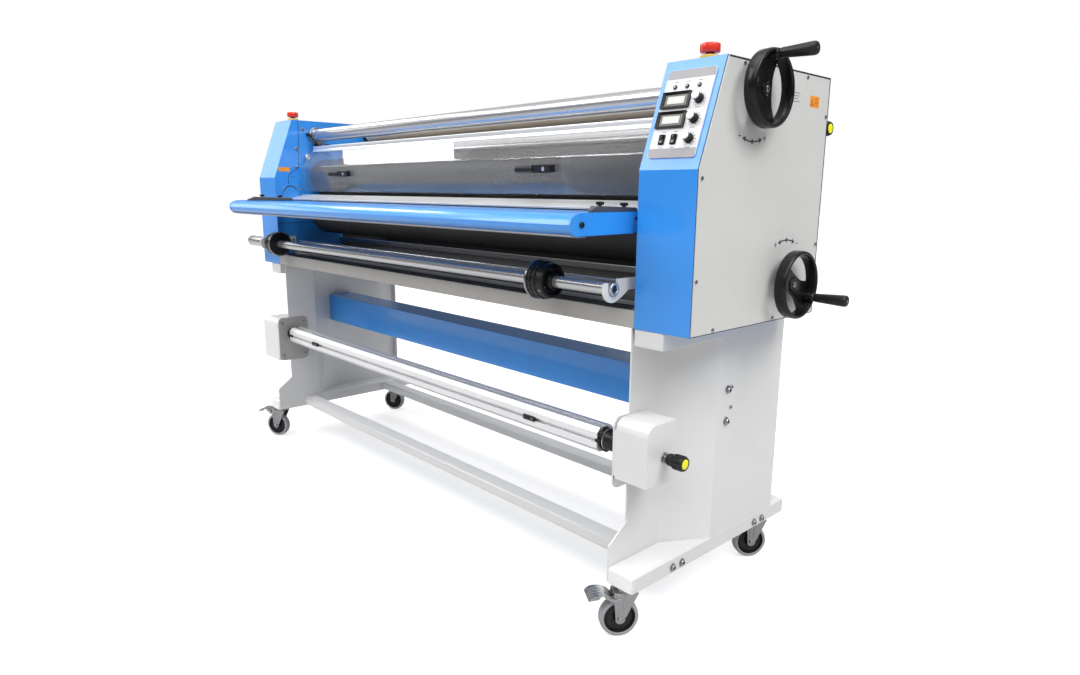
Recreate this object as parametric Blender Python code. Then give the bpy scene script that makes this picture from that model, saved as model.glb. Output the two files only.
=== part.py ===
"""Wide-format cold roll laminator on a wheeled stand.

Metres, +Z up. +X runs along the rollers towards the control side, -Y is the
feeding side. The origin is the centre of the bounding box, on the floor.
"""
import math

import bmesh
import bpy
from mathutils import Matrix, Vector

# ---------------------------------------------------------------- dimensions
GAP = 0.0003             # smallest air gap left between two separate pieces

# overall reach (machine frame, x = 0 half way between the two heads)
X_LEFT = -1.030          # left side cover and end of the supply shaft
X_RIGHT = 1.156          # tip of the crank grips
Y_FRONT = -0.482         # nose of the feed table
Y_REAR = 0.296           # rear end of the feet
SHIFT_X = -(X_LEFT + X_RIGHT) / 2
SHIFT_Y = -(Y_FRONT + Y_REAR) / 2

# heads (the two blue housings)
HEAD_IN = 0.885          # inner face
HEAD_OUT = 1.0275        # open outer rim of the blue shell
COVER_OUT = 1.030        # outer face of the white side cover
HEAD_Z0 = 0.6936
HEAD_Z1 = 1.2367
HEAD_FRONT = -0.300
HEAD_REAR = 0.1956
KNEE_Z = 1.0207          # where the front face starts to lean back
TOP_FRONT = -0.2213
SHEET = 0.0025

# stand
FOOT_IN = 0.872
FOOT_OUT = 0.944
FOOT_FRONT = -0.345
FOOT_Z0 = 0.115
FOOT_Z1 = 0.155
WEB = 0.0044             # folded leg panel
LEG_FRONT = -0.287
LEG_REAR = 0.228
LEG_TOP = HEAD_Z0 - GAP

# rollers and shafts: (y, z) of the axis and radius
TOP_ROLLER = (-0.100, 1.0215)
BOTTOM_ROLLER = (-0.100, 0.881)
ROLLER_R = 0.070
JOURNAL_R = 0.015
LIFT = 0.020             # nip opening
UPPER_SHAFT = (-0.126, 1.183)
LINER_CORE = (0.100, 1.193)
REAR_SHAFT = (0.228, 1.128)
SUPPLY_SHAFT = (-0.343, 0.779)
SUPPLY_R = 0.014
IDLER = (-0.215, 0.774)
TAKEUP = (-0.273, 0.420)

# handwheels
UPPER_WHEEL = (-0.121, 1.180)
LOWER_WHEEL = (0.048, 0.777)
WHEEL_R = 0.0762
CRANK_R = 0.0645
UPPER_CRANK_DEG = 90.0   # crank position at rest, measured from +Y towards +Z
LOWER_CRANK_DEG = -30.0

# feed table and shield
TABLE_PIVOT = (-0.272, 0.915)
TABLE_HALF = 0.8655
SHIELD_PIVOT = (-0.1385, 1.133)
SHIELD_HALF = 0.869
FACET_LOW = (-0.1895, 0.970)
FACET_HIGH = (-0.2025, 1.0605)
LATCH_Z = 1.034
LATCH_RIGHT_X = 0.505
LATCH_LEFT_X = -0.520

# emergency stops
ESTOP_R = 0.0205
ESTOP_RIGHT = (0.955, -0.175)
ESTOP_LEFT = (-0.957, -0.182)

# control panel, measured on the sloping face: x and distance s down the slope
PANEL_X = (0.900, 1.0135)
PANEL_S = (0.0225, 0.206)
METER_X = (0.9015, 0.9700)
METER_S = ((0.0695, 0.1040), (0.1108, 0.1453))
LAMP_X = (0.925, 0.954, 0.983)
LAMP_S = 0.0587
KNOB_X = 0.9915
KNOB_S = (0.0877, 0.1285, 0.1688)
ROCKER_X = (0.926, 0.9545)
ROCKER_S = 0.1687
ROCKER_TILT = 8.0

# casters
CASTER_X = 0.908
CASTER_FRONT = -0.320
CASTER_REAR = 0.222
TYRE_R = 0.045
TRAIL = 0.018
ROLL_RIGHT = (-0.550, -0.835)   # direction the right pair trails
ROLL_LEFT = (-0.850, -0.530)    # direction the left pair trails

# ------------------------------------------------------------------ colours
COLOURS = {
    "white": ((0.80, 0.80, 0.79), 0.0, 0.45),
    "blue": ((0.03, 0.27, 0.85), 0.0, 0.40),
    "grey": ((0.42, 0.41, 0.39), 0.0, 0.50),
    "steel": ((0.45, 0.45, 0.45), 1.0, 0.35),
    "chrome": ((0.80, 0.80, 0.80), 1.0, 0.10),
    "aluminium": ((0.80, 0.80, 0.82), 1.0, 0.35),
    "rubber": ((0.05, 0.05, 0.05), 0.0, 0.70),
    "black": ((0.02, 0.02, 0.02), 0.0, 0.40),
    "card": ((0.62, 0.50, 0.34), 0.0, 0.85),
    "clear": ((0.90, 0.93, 0.95), 0.0, 0.08),
    "red": ((0.75, 0.04, 0.02), 0.0, 0.35),
    "tyre": ((0.45, 0.45, 0.45), 0.0, 0.65),
    "zinc": ((0.70, 0.70, 0.70), 1.0, 0.30),
}


# ------------------------------------------------------------------ helpers
def clear_scene():
    for old in list(bpy.data.objects):
        bpy.data.objects.remove(old, do_unlink=True)


def make_object(name, bm):
    bmesh.ops.recalc_face_normals(bm, faces=bm.faces)
    mesh = bpy.data.meshes.new(name)
    bm.to_mesh(mesh)
    bm.free()
    obj = bpy.data.objects.new(name, mesh)
    bpy.context.scene.collection.objects.link(obj)
    return obj


def lift_point(axis, along, p, q):
    """Point with coordinate `along` on the axis and (p, q) across it."""
    if axis == "X":
        return (along, p, q)
    if axis == "Y":
        return (p, along, q)
    return (p, q, along)


def prism(name, axis, points, low, high):
    """Closed body: polygon `points` pushed along `axis` from low to high."""
    bm = bmesh.new()
    first = [bm.verts.new(lift_point(axis, low, p, q)) for p, q in points]
    last = [bm.verts.new(lift_point(axis, high, p, q)) for p, q in points]
    bm.faces.new(first)
    bm.faces.new(list(reversed(last)))
    count = len(points)
    for i in range(count):
        j = (i + 1) % count
        bm.faces.new((first[i], first[j], last[j], last[i]))
    return make_object(name, bm)


def box(name, x, y, z, bevel=0.0):
    bm = bmesh.new()
    corners = [(x[i], y[j], z[k]) for i in (0, 1) for j in (0, 1) for k in (0, 1)]
    verts = [bm.verts.new(c) for c in corners]
    for face in ((0, 1, 3, 2), (4, 6, 7, 5), (0, 4, 5, 1), (2, 3, 7, 6), (0, 2, 6, 4), (1, 5, 7, 3)):
        bm.faces.new([verts[i] for i in face])
    if bevel:
        bmesh.ops.recalc_face_normals(bm, faces=bm.faces)
        bmesh.ops.bevel(bm, geom=list(bm.edges), offset=bevel, segments=1, affect="EDGES")
    return make_object(name, bm)


def lathe(name, axis, centre, profile, segments=20, ring=False):
    """Round body from (along, radius) stations. `ring` closes the profile."""
    bm = bmesh.new()
    rows = []
    for along, radius in profile:
        if radius == 0:
            rows.append([bm.verts.new(lift_point(axis, along, centre[0], centre[1]))])
            continue
        row = []
        for k in range(segments):
            angle = 2 * math.pi * k / segments
            p = centre[0] + radius * math.cos(angle)
            q = centre[1] + radius * math.sin(angle)
            row.append(bm.verts.new(lift_point(axis, along, p, q)))
        rows.append(row)
    pairs = list(zip(rows, rows[1:]))
    if ring:
        pairs.append((rows[-1], rows[0]))
    for a, b in pairs:
        for k in range(segments):
            m = (k + 1) % segments
            if len(a) == 1:
                bm.faces.new((a[0], b[k], b[m]))
            elif len(b) == 1:
                bm.faces.new((a[k], b[0], a[m]))
            else:
                bm.faces.new((a[k], b[k], b[m], a[m]))
    return make_object(name, bm)


def rod(name, axis, centre, radius, low, high, segments=20):
    profile = [(low, 0), (low, radius), (high, radius), (high, 0)]
    return lathe(name, axis, centre, profile, segments)


def combine(target, tool, operation):
    """Boolean `tool` into `target` and drop the tool."""
    mod = target.modifiers.new("combine", "BOOLEAN")
    mod.operation = operation
    mod.solver = "EXACT"
    mod.object = tool
    graph = bpy.context.evaluated_depsgraph_get()
    mesh = bpy.data.meshes.new_from_object(target.evaluated_get(graph))
    target.modifiers.clear()
    target.data = mesh
    bpy.data.objects.remove(tool, do_unlink=True)
    return target


def join(target, *tools):
    for tool in tools:
        combine(target, tool, "UNION")
    return target


def cut(target, *tools):
    for tool in tools:
        combine(target, tool, "DIFFERENCE")
    return target


def circle(centre, radius, start, stop, steps):
    """Points on an arc, angles in degrees from +p towards +q."""
    points = []
    for i in range(steps + 1):
        angle = math.radians(start + (stop - start) * i / steps)
        points.append((centre[0] + radius * math.cos(angle), centre[1] + radius * math.sin(angle)))
    return points


def rounded(p, q, radius, steps=3):
    """Rounded rectangle, p = (low, high), q = (low, high)."""
    points = []
    for cp, cq, start in ((p[1], q[0], -90), (p[1], q[1], 0), (p[0], q[1], 90), (p[0], q[0], 180)):
        centre = (cp - radius if cp == p[1] else cp + radius, cq - radius if cq == q[1] else cq + radius)
        points += circle(centre, radius, start, start + 90, steps)
    return points


def mirror_x(obj):
    """Turn a piece made for the right side into its left-hand twin."""
    obj.data.transform(Matrix.Scale(-1, 4, Vector((1, 0, 0))))
    obj.data.flip_normals()
    return obj


FINISHED = []


def finish(obj, colour, pivot=None, smooth=None):
    """Give the piece its material, smooth shading and joint origin."""
    mesh = obj.data
    mesh.name = obj.name
    mesh.materials.clear()
    rgb, metallic, roughness = COLOURS[colour]
    material = bpy.data.materials.new("mat_" + obj.name)
    material.use_nodes = True
    shader = material.node_tree.nodes["Principled BSDF"]
    shader.inputs["Base Color"].default_value = (rgb[0], rgb[1], rgb[2], 1.0)
    shader.inputs["Metallic"].default_value = metallic
    shader.inputs["Roughness"].default_value = roughness
    mesh.materials.append(material)
    bm = bmesh.new()
    bm.from_mesh(mesh)
    bmesh.ops.remove_doubles(bm, verts=bm.verts, dist=0.00001)
    limit = math.radians(smooth or 0)
    for face in bm.faces:
        face.material_index = 0
        face.smooth = bool(smooth)
    for edge in bm.edges:
        edge.smooth = bool(smooth) and len(edge.link_faces) == 2 and edge.calc_face_angle(0) < limit
    bm.to_mesh(mesh)
    bm.free()
    if pivot is not None:
        mesh.transform(Matrix.Translation(-Vector(pivot)))
        obj.location = pivot
    FINISHED.append(obj)
    return obj


# -------------------------------------------------------------------- stand
def side_frame(name):
    """Foot tube, folded leg panel and top rail, welded into one side frame."""
    plan = [
        (FOOT_IN - 0.004, -0.343),
        (FOOT_IN + 0.0004, -0.343),
        (FOOT_IN + 0.0004, -0.174),
        (FOOT_OUT - 0.0004, -0.054),
        (FOOT_OUT - 0.0004, LEG_REAR),
        (0.914, LEG_REAR),
        (0.914, LEG_REAR - 0.004),
        (FOOT_OUT - WEB, LEG_REAR - 0.004),
        (FOOT_OUT - WEB, -0.0526),
        (FOOT_IN - 0.004, -0.1733),
    ]
    frame = prism(name, "Z", plan, 0.119, LEG_TOP)
    toe = [(-0.37, 0.204), (-0.343, 0.204), (LEG_FRONT, 0.244), (LEG_FRONT, 0.72), (-0.37, 0.72)]
    cut(frame, prism("toe", "X", toe, 0.85, 0.89))
    join(frame, box("foot", (FOOT_IN, FOOT_OUT), (FOOT_FRONT, Y_REAR), (FOOT_Z0, FOOT_Z1), 0.003))
    join(frame, box("rail", (0.887, 0.963), (-0.300, -0.045), (0.656, LEG_TOP), 0.002))
    return frame


def build_stand():
    finish(side_frame("side_frame_right"), "white")
    finish(mirror_x(side_frame("side_frame_left")), "white")

    end = FOOT_IN - 0.004 - GAP
    front = box("stretcher_front", (-end, end), (-0.240, -0.188), (0.122, 0.152), 0.003)
    finish(front, "white")
    end = FOOT_IN - GAP
    rear = box("stretcher_rear", (-end, end), (0.117, 0.167), (0.122, 0.152), 0.003)
    finish(rear, "white")

    outer = [(0.917, -0.085), (0.936, -0.053), (0.9392, -0.045), (0.9392, 0.020)]
    inner = [(0.9145, -0.082), (0.933, -0.051), (0.9362, -0.044), (0.9362, 0.030)]
    outline = outer + [(-x, y) for x, y in reversed(outer)]
    pocket = inner + [(-x, y) for x, y in reversed(inner)]
    panel = prism("cross_panel", "Z", outline, 0.447, 0.552)
    cut(panel, prism("pocket", "Z", pocket, 0.450, 0.549))
    finish(panel, "blue")


# -------------------------------------------------------------------- heads
def head_outline(inset):
    return [
        (HEAD_FRONT + inset, HEAD_Z0 + inset),
        (HEAD_REAR - inset, HEAD_Z0 + inset),
        (HEAD_REAR - inset, HEAD_Z1 - inset),
        (TOP_FRONT + inset * 0.7, HEAD_Z1 - inset),
        (HEAD_FRONT + inset, KNEE_Z - inset * 0.17),
    ]


def head(name, estop):
    """Folded blue shell, open to the outside, with its journal openings."""
    shell = prism(name, "X", head_outline(0), HEAD_IN, HEAD_OUT)
    ear = [(0.170, 1.100), (0.215, 1.106), (0.240, 1.115), (0.246, 1.128), (0.240, 1.141), (0.215, 1.150), (0.170, 1.156)]
    join(shell, prism("ear", "X", ear, HEAD_IN + 0.0002, HEAD_IN + 0.0062))
    cut(shell, prism("inside", "X", head_outline(SHEET), HEAD_IN + SHEET, HEAD_OUT + 0.01))
    join(shell, rod("estop_base", "Z", estop, 0.0195, HEAD_Z1 - 0.001, HEAD_Z1 + 0.011, 20))
    cut(shell, rod("estop_hole", "Z", estop, 0.0105, HEAD_Z1 - 0.02, HEAD_Z1 + 0.02, 12))
    cut(shell, rod("journal", "X", BOTTOM_ROLLER, JOURNAL_R + 0.0007, 0.87, 0.90, 16))
    half = JOURNAL_R + 0.0008
    slot_y = (TOP_ROLLER[0] - half, TOP_ROLLER[0] + half)
    slot_z = (TOP_ROLLER[1] - half, TOP_ROLLER[1] + LIFT + half)
    cut(shell, box("slot", (0.87, 0.8885), slot_y, slot_z))
    cut(shell, rod("rear_bore", "X", REAR_SHAFT, 0.0085, 0.87, 0.90, 12))
    return shell


def build_heads():
    finish(head("head_right", ESTOP_RIGHT), "blue", smooth=30)
    mirrored = (-ESTOP_LEFT[0], ESTOP_LEFT[1])
    finish(mirror_x(head("head_left", mirrored)), "blue", smooth=30)

    cover = prism("side_cover_right", "X", head_outline(0.002), HEAD_OUT + GAP, COVER_OUT)
    cut(cover, rod("hole", "X", UPPER_WHEEL, 0.009, 1.0, 1.1, 12))
    cut(cover, rod("hole", "X", LOWER_WHEEL, 0.009, 1.0, 1.1, 12))
    finish(cover, "white")
    cover = prism("side_cover_left", "X", head_outline(0.002), -COVER_OUT, -(HEAD_OUT + GAP))
    finish(cover, "white")

    motor = box("drive_motor", (HEAD_IN + SHEET + GAP, 0.965), (0.020, 0.120), (0.870, 0.960), 0.003)
    join(motor, rod("can", "Z", (0.930, 0.070), 0.033, 0.955, 1.090, 16))
    finish(motor, "grey", smooth=30)

    inlet = box("power_inlet", (0.930, 0.980), (HEAD_REAR + GAP, HEAD_REAR + 0.010), (0.740, 0.772), 0.0015)
    cut(inlet, box("socket", (0.938, 0.972), (HEAD_REAR + 0.004, HEAD_REAR + 0.02), (0.746, 0.766)))
    finish(inlet, "black")


def build_cross_members():
    end = HEAD_IN - GAP
    tray = [
        (-0.300, HEAD_Z0), (-0.300, 0.732), (-0.243, 0.732), (-0.243, 0.742),
        (0.177, 0.742), (0.177, 0.835), (0.180, 0.835), (0.180, HEAD_Z0),
        (0.177, HEAD_Z0), (0.177, 0.739), (-0.240, 0.739), (-0.240, 0.729), (-0.297, 0.729), (-0.297, HEAD_Z0),
    ]
    finish(prism("lower_tray", "X", tray, -end, end), "grey")
    bar = box("tie_bar", (-end, end), (-0.043, -0.027), (0.774, 0.790), 0.001)
    finish(bar, "steel")
    platen = [
        (-0.245, 0.9375), (-0.245, 0.9425), (-0.189, 0.9585), (-0.150, 0.9555),
        (-0.150, 0.9500), (-0.188, 0.9520), (-0.238, 0.9375),
    ]
    finish(prism("platen", "X", platen, -end, end), "aluminium")


# ------------------------------------------------------------- feed table
def build_table():
    skin = [
        (-0.430, 0.8920), (-0.452, 0.8920), (-0.470, 0.8950), (-0.479, 0.9040), (-0.4815, 0.9140),
        (-0.477, 0.9250), (-0.466, 0.9322), (-0.452, 0.9360), (-0.266, 0.9360), (-0.266, 0.9000),
        (-0.2685, 0.9000), (-0.2685, 0.9335), (-0.452, 0.9335), (-0.4645, 0.9300), (-0.4747, 0.9235),
        (-0.4790, 0.9138), (-0.4767, 0.9052), (-0.4688, 0.8973), (-0.452, 0.8945), (-0.430, 0.8945),
    ]
    table = prism("feed_table", "X", skin, -TABLE_HALF, TABLE_HALF)
    cheek = [
        (-0.452, 0.8905), (-0.470, 0.8935), (-0.480, 0.9032), (Y_FRONT, 0.9140), (-0.478, 0.9260),
        (-0.466, 0.9335), (-0.452, 0.9370), (-0.280, 0.9375), (-0.264, 0.9300), (-0.260, 0.9150),
        (-0.268, 0.8990), (-0.300, 0.8920),
    ]
    for side in (-1, 1):
        near = side * (TABLE_HALF - 0.001)
        far = side * (TABLE_HALF + 0.004)
        join(table, prism("cheek", "X", cheek, min(near, far), max(near, far)))
        near = side * TABLE_HALF
        far = side * (HEAD_IN - GAP)
        join(table, rod("pin", "X", TABLE_PIVOT, 0.005, min(near, far), max(near, far), 16))
    finish(table, "blue", (0, TABLE_PIVOT[0], TABLE_PIVOT[1]), smooth=32)

    guide = [(-0.420, 0.9366), (-0.420, 0.9400), (-0.396, 0.9500), (-0.275, 0.9460), (-0.272, 0.9430), (-0.272, 0.9366)]
    plan = [(0.800, -0.260), (0.862, -0.260), (0.862, -0.4185), (0.857, -0.4185), (0.800, -0.327)]
    for side, name in ((1, "edge_guide_right"), (-1, "edge_guide_left")):
        low, high = sorted((side * 0.795, side * 0.867))
        piece = prism(name, "X", guide, low, high)
        combine(piece, prism("plan", "Z", [(side * x, y) for x, y in plan], 0.93, 0.96), "INTERSECT")
        finish(piece, "grey", (side * 0.831, -0.346, 0.9366))


# ------------------------------------------------------------------ shield
def facet_point(u, out):
    """Point `u` up the lower facet and `out` in front of it."""
    ty = FACET_HIGH[0] - FACET_LOW[0]
    tz = FACET_HIGH[1] - FACET_LOW[1]
    length = math.hypot(ty, tz)
    ty, tz = ty / length, tz / length
    return (FACET_LOW[0] + ty * u - tz * out, FACET_LOW[1] + tz * u + ty * out)


def build_shield():
    skin = [
        FACET_LOW, FACET_HIGH, (-0.1470, 1.1250), (-0.1470, 1.1410), (-0.1300, 1.1410),
        (-0.1300, 1.1250), (-0.1430, 1.1250), (-0.1993, 1.0595), (-0.1865, 0.9700),
    ]
    shield = prism("shield", "X", skin, -SHIELD_HALF, SHIELD_HALF)
    for side in (-1, 1):
        low, high = sorted((side * (SHIELD_HALF - 0.001), side * (HEAD_IN - GAP)))
        join(shield, rod("pin", "X", SHIELD_PIVOT, 0.005, low, high, 16))
    finish(shield, "clear", (0, SHIELD_PIVOT[0], SHIELD_PIVOT[1]))

    slope = math.hypot(FACET_HIGH[0] - FACET_LOW[0], FACET_HIGH[1] - FACET_LOW[1])
    u0 = (LATCH_Z - FACET_LOW[1]) * slope / (FACET_HIGH[1] - FACET_LOW[1])
    for name, x in (("latch_right", LATCH_RIGHT_X), ("latch_left", LATCH_LEFT_X)):
        corners = [facet_point(u0 - 0.010, 0.0005), facet_point(u0 + 0.010, 0.0005),
                   facet_point(u0 + 0.010, 0.0130), facet_point(u0 - 0.010, 0.0130)]
        latch = prism(name, "X", corners, x - 0.045, x + 0.030)
        grip = [(x - 0.108, 0), (x - 0.108, 0.0070), (x - 0.105, 0.0085), (x - 0.048, 0.0085), (x - 0.040, 0.0070), (x - 0.040, 0)]
        join(latch, lathe("grip", "X", facet_point(u0, 0.0095), grip, 12))
        pivot = facet_point(u0, 0.0005)
        finish(latch, "black", (x, pivot[0], pivot[1]), smooth=32)


# ----------------------------------------------------------------- rollers
def roller(name, axis):
    profile = [
        (-0.912, 0), (-0.912, JOURNAL_R), (-0.862, JOURNAL_R), (-0.862, ROLLER_R - 0.003), (-0.859, ROLLER_R),
        (0.859, ROLLER_R), (0.862, ROLLER_R - 0.003), (0.862, JOURNAL_R), (0.912, JOURNAL_R), (0.912, 0),
    ]
    piece = lathe(name, "X", axis, profile, 32)
    return finish(piece, "rubber", (0, axis[0], axis[1]), smooth=32)


def build_rollers():
    roller("top_roller", TOP_ROLLER)
    roller("bottom_roller", BOTTOM_ROLLER)
    for side, name in ((1, "lift_block_right"), (-1, "lift_block_left")):
        low, high = sorted((side * 0.890, side * 0.910))
        y = (TOP_ROLLER[0] - 0.028, TOP_ROLLER[0] + 0.028)
        z = (TOP_ROLLER[1] - 0.030, TOP_ROLLER[1] + 0.030)
        block = box(name, (low, high), y, z, 0.002)
        cut(block, rod("bore", "X", TOP_ROLLER, JOURNAL_R + 0.0004, low - 0.01, high + 0.01, 24))
        finish(block, "steel", (side * 0.900, TOP_ROLLER[0], TOP_ROLLER[1]), smooth=32)

    profile = [
        (-0.8845, 0), (-0.8845, 0.012), (-0.8820, 0.012), (-0.8820, 0.031), (-0.8740, 0.031), (-0.8740, 0.024),
        (0.8740, 0.024), (0.8740, 0.031), (0.8820, 0.031), (0.8820, 0.012), (0.8845, 0.012), (0.8845, 0),
    ]
    piece = lathe("upper_shaft", "X", UPPER_SHAFT, profile, 24)
    finish(piece, "chrome", (0, UPPER_SHAFT[0], UPPER_SHAFT[1]), smooth=32)

    profile = [
        (-0.8845, 0), (-0.8845, 0.024), (-0.845, 0.026), (-0.845, 0.030),
        (0.845, 0.030), (0.845, 0.026), (0.8845, 0.024), (0.8845, 0),
    ]
    piece = lathe("liner_core", "X", LINER_CORE, profile, 24)
    finish(piece, "card", (0, LINER_CORE[0], LINER_CORE[1]), smooth=32)

    profile = [
        (-0.8930, 0), (-0.8930, 0.008), (-0.8840, 0.008), (-0.8840, 0.015),
        (0.8840, 0.015), (0.8840, 0.008), (0.9640, 0.008), (0.9640, 0),
    ]
    piece = lathe("rear_shaft", "X", REAR_SHAFT, profile, 16)
    finish(piece, "chrome", (0, REAR_SHAFT[0], REAR_SHAFT[1]), smooth=32)

    profile = [
        (0.9645, 0), (0.9645, 0.0085), (0.9770, 0.0085), (0.9780, 0.0135), (0.9860, 0.0160),
        (1.0060, 0.0172), (1.0200, 0.0165), (1.0240, 0.0135), (1.0240, 0),
    ]
    piece = lathe("rear_knob", "X", REAR_SHAFT, profile, 16)
    finish(piece, "black", (0.995, REAR_SHAFT[0], REAR_SHAFT[1]), smooth=32)


# ------------------------------------------------------ lower supply shaft
def hook(name, low, high):
    """Open-topped bracket plate that carries one end of the supply shaft."""
    y, z = SUPPLY_SHAFT
    slot = SUPPLY_R + 0.0006
    outline = circle(SUPPLY_SHAFT, 0.029, 152, 300, 12)
    outline += [(y + 0.030, z - 0.018), (y + 0.050, z - 0.005), (-0.232, z - 0.005), (-0.232, z + 0.0205)]
    outline += [(y + slot, z + 0.0205)] + circle(SUPPLY_SHAFT, slot, 0, -180, 12) + [(y - slot, z + 0.0136)]
    return prism(name, "X", outline, low, high)


def build_supply():
    plate = hook("supply_bracket_right", 0.856, 0.862)
    join(plate, box("spacer", (0.861, HEAD_IN - GAP), (-0.262, -0.236), (0.776, 0.798), 0.001))
    finish(plate, "white", smooth=30)
    finish(hook("supply_bracket_left", -(HEAD_IN - GAP), -(HEAD_IN - 0.0063)), "white", smooth=30)

    profile = [
        (X_LEFT, 0), (X_LEFT, 0.0175), (X_LEFT + 0.003, 0.0195), (-0.893, 0.0195),
        (-0.893, SUPPLY_R), (0.868, SUPPLY_R), (0.868, 0),
    ]
    piece = lathe("supply_shaft", "X", SUPPLY_SHAFT, profile, 20)
    finish(piece, "chrome", (0, SUPPLY_SHAFT[0], SUPPLY_SHAFT[1]), smooth=32)

    bore = SUPPLY_R + 0.0004
    profile = [
        (0.631, bore), (0.631, 0.0450), (0.637, 0.0450), (0.637, 0.0428), (0.665, 0.0428), (0.667, 0.0405),
        (0.681, 0.0395), (0.684, 0.0365), (0.684, 0.0315), (0.677, 0.0305), (0.677, 0.0205), (0.692, 0.0195), (0.692, bore),
    ]
    pivot = (0.660, SUPPLY_SHAFT[0], SUPPLY_SHAFT[1])
    finish(lathe("supply_chuck_right", "X", SUPPLY_SHAFT, profile, 20, ring=True), "black", pivot, smooth=32)
    mirrored = [(-(along + 0.139), radius) for along, radius in profile]
    pivot = (-0.799, SUPPLY_SHAFT[0], SUPPLY_SHAFT[1])
    finish(lathe("supply_chuck_left", "X", SUPPLY_SHAFT, mirrored, 20, ring=True), "black", pivot, smooth=32)

    profile = [
        (-0.8845, 0), (-0.8845, 0.005), (-0.878, 0.005), (-0.878, 0.010),
        (0.878, 0.010), (0.878, 0.005), (0.8845, 0.005), (0.8845, 0),
    ]
    piece = lathe("idler_roller", "X", IDLER, profile, 14)
    finish(piece, "chrome", (0, IDLER[0], IDLER[1]), smooth=32)


# ----------------------------------------------------------------- take-up
def takeup_box(name, outer, body_z, plate_z):
    """Brake housing outside the leg, base plate inside it, joined in front."""
    z0, z1 = body_z
    face = [(-0.237, z0), (-0.237, z1)] + circle((-0.332 + 0.025, z1 - 0.025), 0.025, 90, 180, 5) + [(-0.332, z0)]
    body = prism(name, "X", face, FOOT_IN + 0.0008, outer)
    plate = rounded((-0.3315, -0.212), plate_z, 0.018)
    join(body, prism("plate", "X", plate, FOOT_IN - 0.0085, FOOT_IN - 0.0044))
    join(body, box("bridge", (FOOT_IN - 0.006, FOOT_IN + 0.002), (-0.331, -0.2877), (z0 + 0.005, z1 - 0.026)))
    return body


def build_takeup():
    finish(takeup_box("takeup_box_right", 0.960, (0.362, 0.499), (0.335, 0.499)), "white", smooth=30)
    finish(mirror_x(takeup_box("takeup_box_left", 1.001, (0.318, 0.478), (0.316, 0.486))), "white", smooth=30)

    y, z = TAKEUP
    half = 0.029
    chamfer = 0.011
    outline = [
        (y - half, z - half + chamfer), (y - half + chamfer, z - half), (y + half - chamfer, z - half),
        (y + half, z - half + chamfer), (y + half, z + half - chamfer), (y + half - chamfer, z + half),
        (y - half + chamfer, z + half), (y - half, z + half - chamfer),
    ]
    bar = prism("takeup_bar", "X", outline, -0.830, 0.790)
    end = FOOT_IN - 0.0085 - GAP
    right = [(0.780, 0), (0.780, 0.020), (0.7895, 0.020), (0.7895, 0.031), (0.801, 0.031), (0.801, 0.023), (end, 0.023), (end, 0)]
    left = [(-0.820, 0), (-0.820, 0.020), (-0.8295, 0.020), (-0.8295, 0.027), (-end, 0.027), (-end, 0)]
    join(bar, lathe("chuck", "X", TAKEUP, right, 20), lathe("chuck", "X", TAKEUP, left, 20))
    finish(bar, "aluminium", (0, y, z), smooth=32)

    profile = [
        (0.9603, 0), (0.9603, 0.0085), (0.9700, 0.0085), (0.9710, 0.0135), (0.9800, 0.0155),
        (1.0000, 0.0172), (1.0115, 0.0165), (1.0150, 0.0140), (1.0150, 0),
    ]
    finish(lathe("takeup_knob", "X", TAKEUP, profile, 16), "black", (0.990, y, z), smooth=32)


# -------------------------------------------------------------- handwheels
def handwheel(name, axis, crank_deg):
    """Deep-rimmed two-spoke handwheel with its stub shaft and crank boss."""
    rim = [
        (1.0480, 0.0675), (1.0480, 0.0735), (1.0510, WHEEL_R), (1.0730, WHEEL_R),
        (1.0760, 0.0735), (1.0760, 0.0690), (1.0730, 0.0665), (1.0510, 0.0665),
    ]
    wheel = lathe(name, "X", axis, rim, 32, ring=True)
    half = [(0.036, -0.0610), (0.021, -0.022), (0.0215, 0.0), (0.021, 0.022), (0.036, 0.0610)]
    web = half + [(0.0, 0.0710)] + [(-p, q) for p, q in reversed(half)] + [(0.0, -0.0710)]
    turn = math.radians(crank_deg - 90.0)
    web = [
        (axis[0] + p * math.cos(turn) - q * math.sin(turn), axis[1] + p * math.sin(turn) + q * math.cos(turn))
        for p, q in web
    ]
    join(wheel, prism("web", "X", web, 1.0485, 1.0545))
    hub = [(1.0000, 0), (1.0000, 0.007), (1.0400, 0.007), (1.0400, 0.0165), (1.0560, 0.0165), (1.0575, 0.0150), (1.0575, 0)]
    join(wheel, lathe("hub", "X", axis, hub, 16))
    angle = math.radians(crank_deg)
    boss = (axis[0] + CRANK_R * math.cos(angle), axis[1] + CRANK_R * math.sin(angle))
    join(wheel, rod("boss", "X", boss, 0.0105, 1.0520, 1.0785, 12))
    finish(wheel, "black", (1.060, axis[0], axis[1]), smooth=32)

    profile = [
        (1.0790, 0), (1.0790, 0.0090), (1.0850, 0.0105), (1.1150, 0.0125),
        (1.1490, 0.0130), (1.1540, 0.0110), (X_RIGHT, 0.0075), (X_RIGHT, 0),
    ]
    grip = lathe(name.replace("handwheel", "grip"), "X", boss, profile, 14)
    finish(grip, "black", (1.0790, boss[0], boss[1]), smooth=32)


# ----------------------------------------------------------- control panel
def slope_matrix():
    """Maps local (x, s down the slope, out of the slope) to the machine."""
    sy = HEAD_FRONT - TOP_FRONT
    sz = KNEE_Z - HEAD_Z1
    length = math.hypot(sy, sz)
    sy, sz = sy / length, sz / length
    rows = ((1, 0, 0, 0), (0, sy, sz, TOP_FRONT), (0, sz, -sy, HEAD_Z1), (0, 0, 0, 1))
    return Matrix(rows)


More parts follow.
